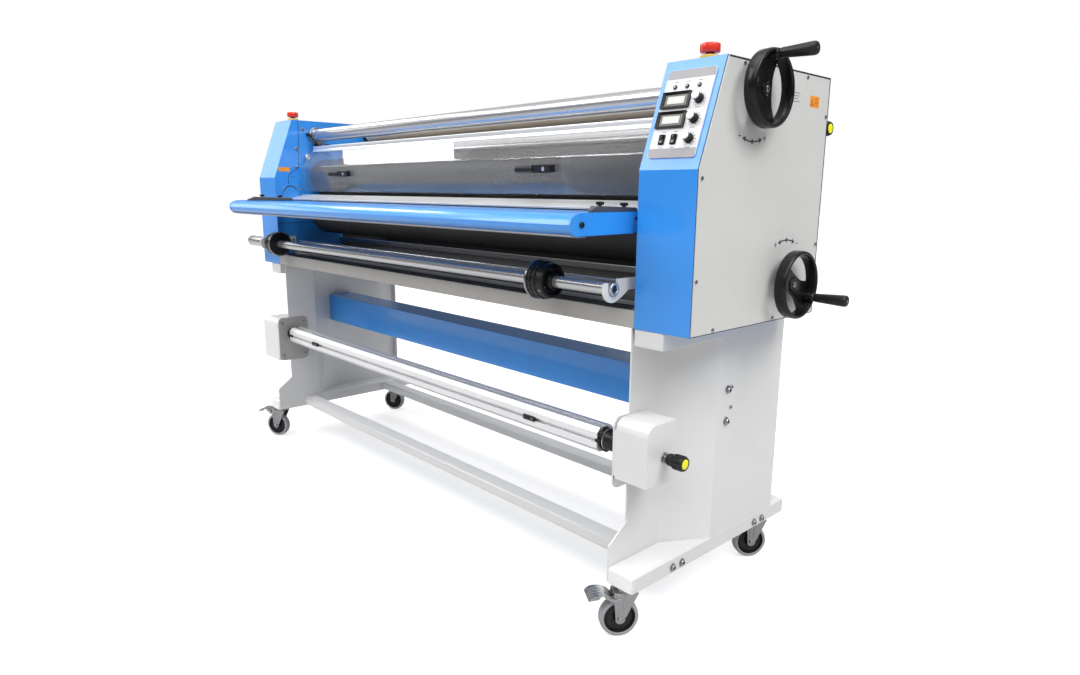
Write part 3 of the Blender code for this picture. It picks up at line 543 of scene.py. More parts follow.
def build_cover_graphics():
    """Turn arrows with their end marks, and a plain orange label."""
    art = Piece("cover_graphics")
    x0, x1 = COVER - 0.2, COVER + 0.2
    for (cy, cz), middle, r in ((UPPER_WHEEL, 270, 100), (LOWER_WHEEL, 90, 98)):
        outer = arc((cy, cz), r + 1.4, middle - 15, middle + 15, 16)
        inner = arc((cy, cz), r - 1.4, middle + 15, middle - 15, 16)
        art.prism(INK, "X", outer + inner, x0, x1)
        for turn in (-1, 1):
            a = math.radians(middle + 15 * turn)
            ty, tz = -math.sin(a) * turn, math.cos(a) * turn
            py, pz = cy + r * math.cos(a), cz + r * math.sin(a)
            ny, nz = math.cos(a) * 5.8, math.sin(a) * 5.8
            art.prism(INK, "X", [(py + ny, pz + nz), (py + ty * 11.5, pz + tz * 11.5), (py - ny, pz - nz)],
                x0, x1)
            qy, qz = py + ty * 22, pz + tz * 22
            art.box(INK, (x0, x1), near(qy, 5.2), near(qz, 0.9))
            if turn > 0:
                art.box(INK, (x0, x1), near(qy, 0.9), near(qz, 5.2))
        my = cy
        mz = cz + math.sin(math.radians(middle)) * r
        art.prism(INK, "X", [(my - 5.5, mz), (my, mz - 5.5), (my + 5.5, mz), (my, mz + 5.5)], x0 + 0.1,
            x1 + 0.1)
    art.prism(ORANGE, "X", rounded((106, 148), (1166, 1190.5), 1, 2), x0, x1)
    art.prism(INK, "X", [(110, 1170), (124, 1170), (117, 1184)], x0 + 0.1, x1 + 0.1)
    art.prism(ORANGE, "X", [(112.8, 1171.6), (121.2, 1171.6), (117, 1180)], x0 + 0.2, x1 + 0.2)
    for row in range(4):
        art.box(INK, (x0 + 0.1, x1 + 0.1), (128, 144 - 2 * (row % 2)),
            (1185 - row * 4.6, 1186.2 - row * 4.6))
    for row in range(4):
        art.box(INK, (x0, x1), (34, 60 - 4 * (row % 3)), (1190 - row * 6, 1191.2 - row * 6))
    art.done(STAND, "black_plastic")


def build_cross_members():
    pressed("lower_tray", TRAY_PAINT_AND_PLATE_SHADE, STAND, 1.2)
    # Painted shade: a near-black sheet on the tray floor, up its rear upstand and on the housing walls
    # behind the tie bar, for the dark space under the rollers.
    mat = Piece("tray_shade_sheet")
    mat.prism(TRAY_SHADE, "X", [(-242, 741.9), (-242, 743.2), (175.6, 743.2), (175.6, 834), (177.1, 834),
        (177.1, 741.9)], -884, 884)
    mat.prism(TRAY_SHADE, "X", [(-296, 731.8), (-296, 732.8), (-244, 732.8), (-244, 731.8)], -884, 884)
    for side in (-1, 1):
        mat.prism(TRAY_SHADE, "X", [(-30, 742.5), (177, 742.5), (177, 834), (-30, 834)],
            *span(side, 882.8, 884.2))
    mat.done(STAND, "roller_rubber", bevel=0.3)
    pressed("tie_bar", BRUSHED, STAND, 0.8)
    pressed("platen", ALU, STAND, 0.6)
    screws = Piece("platen_screws")
    for i in range(9):
        x = -800 + 200 * i
        screws.screw((x, -168, 956.6), (0, 0.076, 0.997), 3, 1.2)
    for side in (-1, 1):
        for y in (-290, 150):
            screws.screw((side * 876, y, 712 if y > 0 else 732), (0, 1, 0) if y > 0 else (0, 0, 1), 3.5, 2)
    screws.done(STAND, "steel")


# ---------------------------------------------------------------- feed table
def build_table():
    pressed("feed_table", BLUE, "feed_table", 0.8, 2)
    lip = Piece("table_under_lip")
    skin = [(-430, 888.5), (-452, 888.5), (-472, 891.8), (-470, 894.8), (-452, 891.8), (-430, 891.8)]
    lip.prism(LIP_GREY, "X", skin, -864, 864)
    lip.done("feed_table", "steel", bevel=0.4)
    bits = Piece("table_fittings")
    for side in (-1, 1):
        out = (side, 0, 0)
        bits.bolt(BLACK_STEEL, (side * 869.4, -449, 914), out, 6, 4, INK)
        low, high = span(side, 869.2, 869.8)
        bits.prism(INK, "X", rounded((-290, -262), (920, 927), 3, 4), low, high)
        bits.prism(SEAM, "X", [(-452, 890.7), (-452, 891.9), (-300, 893.3), (-300, 892.1)], low, high)
        bits.turn(STEEL, "X", (-272, 915), flip(side, [(869.4, 10.5), (880, 10.5)]), 32)
    bits.done("feed_table", "steel")
    for side, tag in ((1, "right"), (-1, "left")):
        pressed("edge_guide_" + tag, GUIDE, "edge_guide_" + tag, 1.2)
        screws = Piece("thumb_screws_" + tag)
        for y in (-374 if side > 0 else -368, -300):
            z = 948.7 if y < -330 else 946.2
            place = Matrix.Translation(Vector((side * 848, y, z)))
            knurl = [(0, 4.2), (3, 4.2), (3, 7.2), (3.5, 7.8), (8.5, 7.8), (9.2, 7), (9.2, 3.6), (9.8, 0)]
            screws.spin(BLACK, knurl, 40, place)
            for spot in around((0, 0), 7.8, 20):
                screws.rod(BLACK, "Z", spot, 0.7, 3.6, 8.4, 8, place)
        screws.done("edge_guide_" + tag, "black_plastic")


# -------------------------------------------------------------------- shield
FACET_LOW = Vector((0, -189.5, 970))
FACET_HIGH = Vector((0, -202.5, 1060.5))
LATCH_Z = 1034


def facet_matrix(x):
    """(x, up the facet, out of the facet) to machine coordinates at LATCH_Z."""
    up = (FACET_HIGH - FACET_LOW).normalized()
    out = Vector((0, -up.z, up.y))
    t = (LATCH_Z - FACET_LOW.z) / up.z
    base = FACET_LOW + up * t
    return Matrix(((1, 0, 0, x), (0, up.y, out.y, base.y), (0, up.z, out.z, base.z), (0, 0, 0, 1)))


def build_shield():
    half = 868.5
    sheet = Piece("guard_sheet")
    bend_out = [(-195, 1069), (-200, 1064.5), (-202.3, 1060), (-202.2, 1055)]
    bend_in = [(-199.3, 1055), (-199.3, 1059.5), (-197.5, 1063), (-193, 1067.2)]
    order = [(-189.5, 970.2)] + list(reversed(bend_out)) + [(-147.6, 1125),
        (-145.4, 1123.2)] + list(reversed(bend_in)) + [(-186.5, 970.2)]
    sheet.prism(CLEAR, "X", order, -half, half)
    sheet.done("shield", "clear_plastic", "shield", bevel=0.3, segments=1, smooth=40)
    rail = Piece("guard_rail")
    rail.prism(ALU, "X", rounded((-147, -130), (1125, 1141), 2, 3), -half, half)
    rail.prism(ALU, "X", [(-151.2, 1119.6), (-148.8, 1126.8), (-145, 1130), (-144, 1125.5),
        (-149.4, 1117.6)], -half, half)
    for side in (-1, 1):
        rail.rod(STEEL, "X", (-138.5, 1133), 5, *span(side, 868, 884.7), 24)
    rail.done("shield", "aluminium")
    for side, x, tag in ((1, 505, "right"), (-1, -520, "left")):
        place = facet_matrix(x)
        latch = Piece("latch_body_" + tag)
        latch.prism(BLACK, "Z", rounded((-44, 30), (-10, 10), 3, 4), 0.4, 12.5, place)
        latch.prism(BLACK, "Z", rounded((12, 28), (-7.5, 7.5), 2, 3), 12, 15.5, place)
        latch.spin(CHROME, [(12.4, 5.2), (14, 5.2), (14.6, 4.2)], 32, place)
        ribs = [(-40, 7)]
        for i in range(11):
            a = -46 - i * 5.2
            ribs += [(a, 7.4), (a - 1.2, 8.6), (a - 3.6, 8.6), (a - 4.6, 7.4)]
        ribs += [(-105.5, 7.8), (-108, 6)]
        latch.turn(BLACK, "X", (0, 9.5), ribs, 32, place)
        latch.done("latch_" + tag, "black_plastic", "latch_" + tag, bevel=0.5)


# ------------------------------------------------------------------- rollers
def build_rollers():
    for name, axis in (("top_roller", TOP_ROLLER), ("bottom_roller", BOTTOM_ROLLER)):
        piece = Piece(name + "_body")
        piece.turn(STEEL, "X", axis, [(-912, 14), (-911, 14.9), (-862, 14.9), (-862, 40), (-860.5, 58),
            (860.5, 58), (862, 40), (862, 14.9), (911, 14.9), (912, 14)], 48)
        piece.turn(RUBBER, "X", axis, [(-860, 57.5), (-861.5, 66), (-860.5, 69), (-858, 70), (858, 70),
            (860.5, 69), (861.5, 66), (860, 57.5)], 128, ring=True)
        piece.done(name, "roller_rubber", name)
    for tag in ("left", "right"):
        carry("lift_block_" + tag, BRUSHED)

    shaft = Piece("upper_shaft_tube")
    shaft.turn(CHROME, "X", UPPER_SHAFT, [(-870, 23.2), (-869.2, 24), (869.2, 24), (870, 23.2)], 96)
    for side in (-1, 1):
        ring = flip(side, [(884.5, 11.8), (882.2, 12.2), (882, 29.6), (880.8, 30.8), (875.2, 30.8),
            (874, 29.6), (873.8, 26.2), (868, 25.5)])
        shaft.turn(STEEL, "X", UPPER_SHAFT, ring, 64)
    shaft.done("upper_shaft", "chrome", "upper_shaft")

    core = Piece("liner_core_tube")
    core.turn(CARD, "X", LINER, [(-836, 26.2), (-836.5, 29.7), (-835.5, 30), (835.5, 30), (836.5, 29.7),
        (836, 26.2)], 80, ring=True)
    for side in (-1, 1):
        core.turn(CAP_WHITE, "X", LINER, flip(side, [(832, 27), (844, 28.5), (845, 27.8)]), 48)
        core.turn(BLACK, "X", LINER, flip(side, [(844, 25.5), (856, 25.5), (857, 24.5), (869, 24.5),
            (870, 22.5), (884, 22.5), (884.5, 21.5)]), 40)
    core.done("liner_core", "card_tube", "liner_core")

    rear = Piece("rear_shaft_tube")
    rear.turn(CHROME, "X", REAR_SHAFT, [(-883.8, 14.2), (-883, 15), (883, 15), (883.8, 14.2)], 64)
    rear.turn(CHROME, "X", REAR_SHAFT, [(883, 8), (964, 8)], 32)
    rear.turn(CHROME, "X", REAR_SHAFT, [(-893, 8), (-883, 8)], 32)
    rear.done("rear_shaft", "chrome", "rear_shaft")
    tension_knob("rear_knob", REAR_SHAFT, 964.5, 1024, "rear_knob")


def tension_knob(name, axis, low, high, node):
    """Fluted black knob on a steel neck with a yellow button in its end."""
    knob = Piece(name + "_body")
    knob.turn(STEEL, "X", axis, [(low, 7.2), (low + 12, 7.2), (low + 13, 0)], 32)
    knob.turn(BLACK, "X", axis, [(low + 10, 11.8), (low + 13, 13.2), (low + 20, 13.8), (low + 22, 12.8),
        (low + 24, 14.2), (high - 10, 16), (high - 4, 16.2), (high - 1, 14.8), (high - 1, 11.8),
        (high - 3.5, 11.2)], 48)
    for centre in around(axis, 15.2, 12):
        knob.turn(BLACK, "X", centre, [(low + 26, 0.8), (low + 30, 1.8), (high - 5, 2), (high - 3, 0.8)],
            12)
    knob.turn(YELLOW, "X", axis, [(high - 4, 10.8), (high - 0.8, 10.8), (high, 9)], 40)
    knob.done(node, "black_plastic", node)


# -------------------------------------------------------------------- supply
def build_supply():
    y, z = SUPPLY
    for tag in ("left", "right"):
        pressed("supply_bracket_" + tag, WHITE, STAND, 1.2)
    bolts = Piece("supply_bracket_bolts")
    bolts.screw((862, -240, 789), (1, 0, 0), 6, 5)
    bolts.screw((856, -248, 787), (-1, 0, 0), 6, 5)
    bolts.screw((856, -268, 787), (-1, 0, 0), 4.5, 4)
    for yy in (-245, -282):
        bolts.screw((-878.7, yy, 784), (1, 0, 0), 6, 5)
    bolts.done(STAND, "steel")

    shaft = Piece("supply_shaft_bar")
    shaft.turn(CHROME, "X", SUPPLY, [(-893, 13.9), (866.8, 13.9), (868, 12.8), (868, 8.8), (866.8, 8),
        (864, 7.8)], 64)
    shaft.turn(BLACK_STEEL, "X", SUPPLY, [(863.6, 7.7), (865.2, 7.4), (866, 4)], 32)
    sleeve = [(-1030, 17), (-1028.5, 18.8), (-1026, 19.5), (-972, 19.5), (-971.5, 18.6), (-969, 18.6),
        (-968.5, 19.5), (-900, 19.5), (-893.5, 19), (-893, 18)]
    shaft.turn(CHROME, "X", SUPPLY, sleeve, 64)
    shaft.bolt(BLACK, (-930, y - 19.2, z), (0, -1, 0), 3, 0.4)
    shaft.done("supply_shaft", "chrome", "supply_shaft")

    for side, tag, base in ((1, "right", 631), (-1, "left", -770)):
        chuck = Piece("supply_chuck_%s_body" % tag)

        def at(d, side=side, base=base):
            return base + side * d

        bore = 14.6
        chuck.turn(STEEL, "X", SUPPLY, [(at(0), bore), (at(0), 43.8), (at(1.2), 45), (at(4.8), 45),
            (at(6), 43.8), (at(6), bore)], 72, ring=True)
        chuck.turn(BLACK, "X", SUPPLY, [(at(-0.2), bore), (at(-0.2), 40.5), (at(1), 41), (at(1), bore)], 72,
            ring=True)
        ribs = [(at(5.8), bore), (at(6), 40.5)]
        for i in range(2):
            d = 8 + i * 13.5
            ribs += [(at(d), 40.5), (at(d + 1), 42.7), (at(d + 10.5), 42.7), (at(d + 11.5), 40.5)]
        ribs += [(at(36.5), 40.2), (at(49.5), 39.4), (at(52.6), 36.8), (at(53), 32.5), (at(51.5), 31),
            (at(46.2), 30.3), (at(46), 21), (at(59), 19.9), (at(60.8), 18.6), (at(61), bore)]
        chuck.turn(BLACK, "X", SUPPLY, ribs, 72, ring=True)
        for centre in around(SUPPLY, 41.2, 14):
            low, high = sorted((at(9), at(19)))
            chuck.rod(BLACK_GLOSS, "X", centre, 2.6, low, high, 8)
            low, high = sorted((at(22.5), at(32.5)))
            chuck.rod(BLACK_GLOSS, "X", centre, 2.6, low, high, 8)
        for k in range(3):
            a = math.radians(90 + 120 * k)
            d = (0, math.cos(a), math.sin(a))
            point = (at(43), y + 39.4 * d[1], z + 39.4 * d[2])
            chuck.screw(point, d, 3.6, 1.4)
            chuck.screw((at(46.2), y + 25.7 * d[1], z + 25.7 * d[2]), (side, 0, 0), 2.6, 2)
        chuck.done("supply_chuck_" + tag, "black_plastic", "supply_chuck_" + tag)

    idler = Piece("idler_roller_body")
    idler.turn(CHROME, "X", IDLER, [(-878, 9.2), (-877.2, 10), (877.2, 10), (878, 9.2)], 40)
    idler.turn(STEEL, "X", IDLER, [(-884.5, 5), (884.5, 5)], 24)
    idler.done("idler_roller", "chrome", "idler_roller")


# ------------------------------------------------------------------- take-up
def build_takeup():
    y, z = TAKEUP
    for tag in ("left", "right"):
        pressed("takeup_box_" + tag, WHITE, STAND, 3, 3)
    # Painted shade: grey plates on the inner sides of the white take-up boxes, for their faces in shade
    # inside the frame.
    face = Piece("takeup_plate_painted_shade")
    for side in (-1, 1):
        z0, z1 = (316, 486) if side < 0 else (335, 499)
        face.prism(TRAY_PAINT_AND_PLATE_SHADE, "X", rounded((-331.3, -212.2), (z0 + 0.2, z1 - 0.2), 18, 6),
            *span(side, 863.3, 863.9))
        for yy, zz in ((-316, z1 - 20), (-228, z1 - 20), (-316, z0 + 20), (-228, z0 + 20)):
            face.screw((side * 863.4, yy, zz), (-side, 0, 0), 4.8, 3)
    face.done(STAND, "grey_paint", bevel=0.2)

    bar = Piece("takeup_bar_profile")
    h = 29
    c = 10.5
    lip = 4.5
    depth = 8
    quarter = [(-h + c, -h), (-lip, -h), (-lip, -h + 2), (-8.5, -h + 2), (-8.5, -h + depth),
        (8.5, -h + depth), (8.5, -h + 2), (lip, -h + 2), (lip, -h), (h - c, -h)]
    outline = []
    for k in range(4):
        for p, q in quarter:
            for _ in range(k):
                p, q = -q, p
            outline.append((y + p, z + q))
    bar.prism(ALU, "X", outline, -830, 790)
    bar.done("takeup_bar", "aluminium", "takeup_bar", bevel=0.6)
    ends = Piece("takeup_bar_chucks")
    ends.turn(BLACK, "X", TAKEUP, [(780, 24.5), (789.5, 26.5), (796, 26.5), (796.5, 23), (804, 23),
        (805, 25), (840, 23.5), (842, 20), (863.2, 20)], 48)
    for centre in around(TAKEUP, 20, 3, 20):
        ends.turn(BLACK, "X", centre, [(790, 10.2), (791.2, 11), (800, 11), (801.2, 10)], 32)
    for centre in around(TAKEUP, 23.6, 24):
        ends.rod(BLACK, "X", centre, 1.4, 806, 838, 8)
    ends.turn(CHROME, "X", TAKEUP, [(801.2, 26.2), (803.5, 26.2)], 48)
    ends.turn(BLACK, "X", TAKEUP, [(-820, 23), (-829.5, 26.2), (-846, 26.8), (-847.5, 25), (-863.2, 24.5)],
        48)
    for x in (-615, 560):
        ends.prism(BLACK, "X", rounded((y - 32.5, y - 27), near(z, 6.5), 2, 3), x - 20, x + 20)
        ends.screw((x + 12, y - 32.5, z), (0, -1, 0), 2.8, 1.5)
    ends.done("takeup_bar", "black_plastic")
    tension_knob("takeup_knob", TAKEUP, 960.3, 1015, "takeup_knob")
    boss = Piece("takeup_knob_collar")
    boss.turn(STEEL, "X", TAKEUP, [(959.8, 8.8), (959.8, 12.5), (961.5, 12.5), (961.5, 8.8)], 40, ring=True)
    boss.done(STAND, "steel")


# ---------------------------------------------------------------- handwheels
def handwheel(name, axis, crank_deg, grip):
    wheel = Piece(name + "_body")
    rim = [(1048, 69), (1048.4, 72.8), (1050, 75), (1053, 76.2), (1071, 76.2), (1074.2, 75), (1075.8, 72.8),
        (1076, 70), (1074.8, 67.8), (1072.2, 66.7), (1060, 66.4), (1052, 66.4), (1049.2, 67.2)]
    wheel.turn(BLACK_GLOSS, "X", axis, rim, 96, ring=True)
    turn = math.radians(crank_deg - 90)

    def spun(p, q):
        return (axis[0] + p * math.cos(turn) - q * math.sin(turn),
            axis[1] + p * math.sin(turn) + q * math.cos(turn))

    right = [(36.5, -57), (30.5, -45), (24.5, -32), (21.2, -18), (20.8, 0), (21.2, 18), (24.5, 32),
        (30.5, 45), (36.5, 57)]
    top = arc((0, 0), 67.2, 58, 122, 8)
    bottom = arc((0, 0), 67.2, 238, 302, 8)
    outline = right + top + [(-p, q) for p, q in reversed(right)] + bottom
    wheel.prism(BLACK_GLOSS, "X", [spun(p, q) for p, q in outline], 1049, 1054.5)
    hub = [(1000, 7), (1038, 7), (1038, 15), (1040, 17), (1055, 17), (1057.2, 15.5), (1057.5, 9.5),
        (1056, 9)]
    wheel.turn(BLACK_GLOSS, "X", axis, hub, 48)
    wheel.screw((1056, axis[0], axis[1]), (1, 0, 0), 7, 3.5)
    for side in (-1, 1):
        p, q = spun(0, side * 12)
        wheel.bolt(STEEL, (1057.1, p, q), (1, 0, 0), 1.7, 0.6)
    a = math.radians(crank_deg)
    boss = (axis[0] + CRANK_R * math.cos(a), axis[1] + CRANK_R * math.sin(a))
    wheel.turn(BLACK_GLOSS, "X", boss, [(1052, 11.8), (1074, 10.5), (1077.2, 10.2), (1078.5, 9.2)], 32)
    wheel.done(name, "black_plastic", name, bevel=0.8)
    handle = Piece(grip + "_body")
    handle.turn(STEEL, "X", boss, [(1078.8, 6.8), (1083, 6.8)], 24)
    handle.turn(BLACK, "X", boss, [(1080.5, 8), (1082, 9.4), (1085, 10), (1095, 10.3), (1115, 11.4),
        (1135, 12.5), (1146, 13), (1152, 12.7), (1154.8, 11.2), (1156, 8.2)], 40)
    handle.turn(STEEL, "X", boss, [(1154.8, 3), (1156.2, 2.6)], 20)
    handle.done(grip, "black_plastic", grip)


# ------------------------------------------------------------------ controls
def build_controls():
    panel = Piece("control_plate")
    px = (900, 1013.5)
    ps = (22.5, 206)
    panel.prism(PANEL_LIGHT, "Z", rounded(px, ps, 7, 6), 0.3, 3, SLOPE)
    band = rounded((px[0] + 0.4, px[1] - 0.4), (ps[0] + 0.4, ps[0] + 30), 7, 6)
    top_band = [(p, min(q, ps[0] + 19)) for p, q in band]
    panel.prism(PANEL_GREY, "Z", top_band, 2.9, 3.3, SLOPE)
    low_band = [(p, ps[1] + ps[0] - q) for p, q in top_band]
    panel.prism(PANEL_GREY, "Z", list(reversed(low_band)), 2.9, 3.3, SLOPE)
    for s0, s1 in ((69.5, 104), (110.8, 145.3)):
        outer = rounded((901.5, 970), (s0, s1), 1.6, 3)
        inner = rounded((908.5, 963), (s0 + 5.2, s1 - 5.2), 1, 3)
        frame_ring(panel, BLACK_GLOSS, outer, inner, 3, 7.4, 5.6)
        panel.prism(GUIDE, "Z", inner, 3, 4.4, SLOPE)
        panel.prism(LCD, "Z", rounded((915, 956.5), (s0 + 9.5, s1 - 9.5), 1, 3), 4, 4.9, SLOPE)
        panel.prism(INK, "Z", rounded((914, 957.5), (s0 + 8.5, s1 - 8.5), 1, 3), 4, 4.6, SLOPE)
    for x in (925, 954, 983):
        panel.turn(BLACK_GLOSS, "Z", (x, 58.7), [(2.8, 4.6), (4.8, 4.6), (5.6, 3.8), (5.6, 2.6),
            (4.8, 2.4)], 32, SLOPE)
        panel.turn(LCD, "Z", (x, 58.7), [(4.6, 2.4), (6, 2.1), (6.8, 1.2), (7, 0)], 24, SLOPE)
        for k in (-1, 0, 1):
            panel.box(INK, near(x + k * 3.4, 1.2), (47.5, 49), (2.9, 3.2), SLOPE)
    for s in KNOB_S:
        for k in range(11):
            a = math.radians(120 + 30 * k)
            r0, r1 = 11.2, 14.2
            c, d = math.cos(a), math.sin(a)
            w = 0.65
            panel.prism(INK, "Z", [(KNOB_X + r0 * c - w * d, s + r0 * d + w * c), (KNOB_X + r1 * c - w * d,
                s + r1 * d + w * c), (KNOB_X + r1 * c + w * d, s + r1 * d - w * c),
                (KNOB_X + r0 * c + w * d, s + r0 * d - w * c)], 2.9, 3.2, SLOPE)
        for k in (-1, 0, 1):
            panel.box(INK, near(KNOB_X + k * 4, 1.4), (s + 16.2, s + 17.6), (2.9, 3.2), SLOPE)
    for x in ROCKER_X:
        frame_ring(panel, BLACK, rounded(near(x, 6.6), (158.6, 178.8), 1.2, 3),
            rounded(near(x, 5.4), (159.8, 177.6), 0.6, 3), 3, 5.8, 5)
        panel.box(INK, near(x, 5.4), (159.8, 177.6), (2.6, 3.2), SLOPE)
        for s in (152.5, 185):
            for k in (-1, 0, 1):
                panel.box(INK, near(x + k * 3.8, 1.3), near(s, 0.7), (2.9, 3.2), SLOPE)
    panel.done(STAND, "white_paint", "control_panel", smooth=30)

    for i, s in enumerate(KNOB_S):
        node = "panel_knob_%d" % (i + 1)
        knob = Piece(node + "_body")
        place = SLOPE @ Matrix.Translation(Vector((KNOB_X, s, 0)))
        knob.spin(BLACK, [(3.8, 10), (5, 10.2), (6.8, 9.4), (7.2, 8.2), (19, 7.8), (19.6, 7)], 48, place)
        for spot in around((0, 0), 7.6, 18):
            knob.turn(BLACK, "Z", spot, [(7, 1.1), (18, 0.9), (18.6, 0)], 8, place)
        knob.spin(CAP_WHITE, [(18.5, 7.9), (20.8, 8.1), (22, 7.4), (22.5, 5.6)], 40, place)
        knob.box(CAP_WHITE, (-0.4, 0.4), (-10, -7.2), (5, 7.2), place)
        knob.done(node, "black_plastic", node)

    for i, x in enumerate(ROCKER_X):
        node = "rocker_%d" % (i + 1)
        rocker = Piece(node + "_body")
        tilt = math.radians(-8)
        shape = [(-7.9, 4.8), (7.9, 4.8), (7.9, 8), (4.2, 7.3), (0, 7), (-4.2, 7.3), (-7.9, 8)]
        turned = []
        for s, out in shape:
            rise = out - 5.5
            turned.append((ROCKER_S + s * math.cos(tilt) - rise * math.sin(tilt),
                5.5 + s * math.sin(tilt) + rise * math.cos(tilt)))
        rocker.prism(BLACK_GLOSS, "X", turned, x - 4.9, x + 4.9, SLOPE)
        place = SLOPE @ Matrix.Translation(Vector((x, ROCKER_S, 5.5))) @ Matrix.Rotation(tilt, 4, "X")
        rocker.box(CAP_WHITE, (-0.4, 0.4), (-6.6, -4), (1.4, 2.3), place)
        rocker.turn(CAP_WHITE, "Z", (0, 5), [(1.4, 1.2), (2.3, 1.2), (2.3, 1.8), (1.4, 1.8)], 20, place,
            ring=True)
        rocker.done(node, "black_plastic", node, bevel=0.3)

    for tag, spot in (("right", (955, -175)), ("left", (-957, -182))):
        base = Piece("estop_base_" + tag)
        base.turn(ESTOP_YELLOW, "Z", spot, [(1236, 11.2), (1236, 19.2), (1237.2, 19.8), (1246.6, 19.8),
            (1248, 18.6), (1248, 11.2)], 64, ring=True)
        base.done(STAND, "red_plastic")
        stop = Piece("estop_head_" + tag)
        stop.turn(BLACK, "Z", spot, [(1229, 9.2), (1253.5, 9.2)], 32)
        stop.turn(RED, "Z", spot, [(1252.5, 17.2), (1253.2, 19), (1254.8, 20.1), (1257.5, 20.5),
            (1268.4, 20.5), (1270, 19.9), (1271, 18.4), (1271, 14), (1271, 12), (1270.4, 11)], 64)
        for k in range(3):
            a0 = 120 * k
            ring_out = arc(spot, 9.8, a0 + 10, a0 + 85, 8)
            ring_in = arc(spot, 8, a0 + 85, a0 + 10, 8)
            stop.prism(CAP_WHITE, "Z", ring_out + ring_in, 1270, 1270.7)
            a = math.radians(a0 + 92)
            tip = (spot[0] + 8.9 * math.cos(a + 0.22), spot[1] + 8.9 * math.sin(a + 0.22))
            b = math.radians(a0 + 83)
            stop.prism(CAP_WHITE, "Z", [tip, (spot[0] + 6.8 * math.cos(b), spot[1] + 6.8 * math.sin(b)),
                (spot[0] + 10.8 * math.cos(b), spot[1] + 10.8 * math.sin(b))], 1270, 1270.7)
        stop.done("estop_" + tag, "red_plastic", "estop_" + tag)


def frame_ring(piece, mat, outer, inner, low, high, high_inner):
    """Bezel: outer outline at `high`, falling to `high_inner` at the opening."""
    count = len(outer)
    rows = [SLOPE @ Vector((p, q, low)) for p, q in outer] + [SLOPE @ Vector((p, q, high)) for p,
        q in outer]
    rows += [SLOPE @ Vector((p, q, high_inner)) for p, q in inner] + [SLOPE @ Vector((p, q, low)) for p,
        q in inner]
    faces = []
    for i in range(count):
        j = (i + 1) % count
        for a, b in ((0, 1), (1, 2), (2, 3), (3, 0)):
            faces.append((a * count + i, a * count + j, b * count + j, b * count + i))
    piece._add(rows, faces, mat, None)


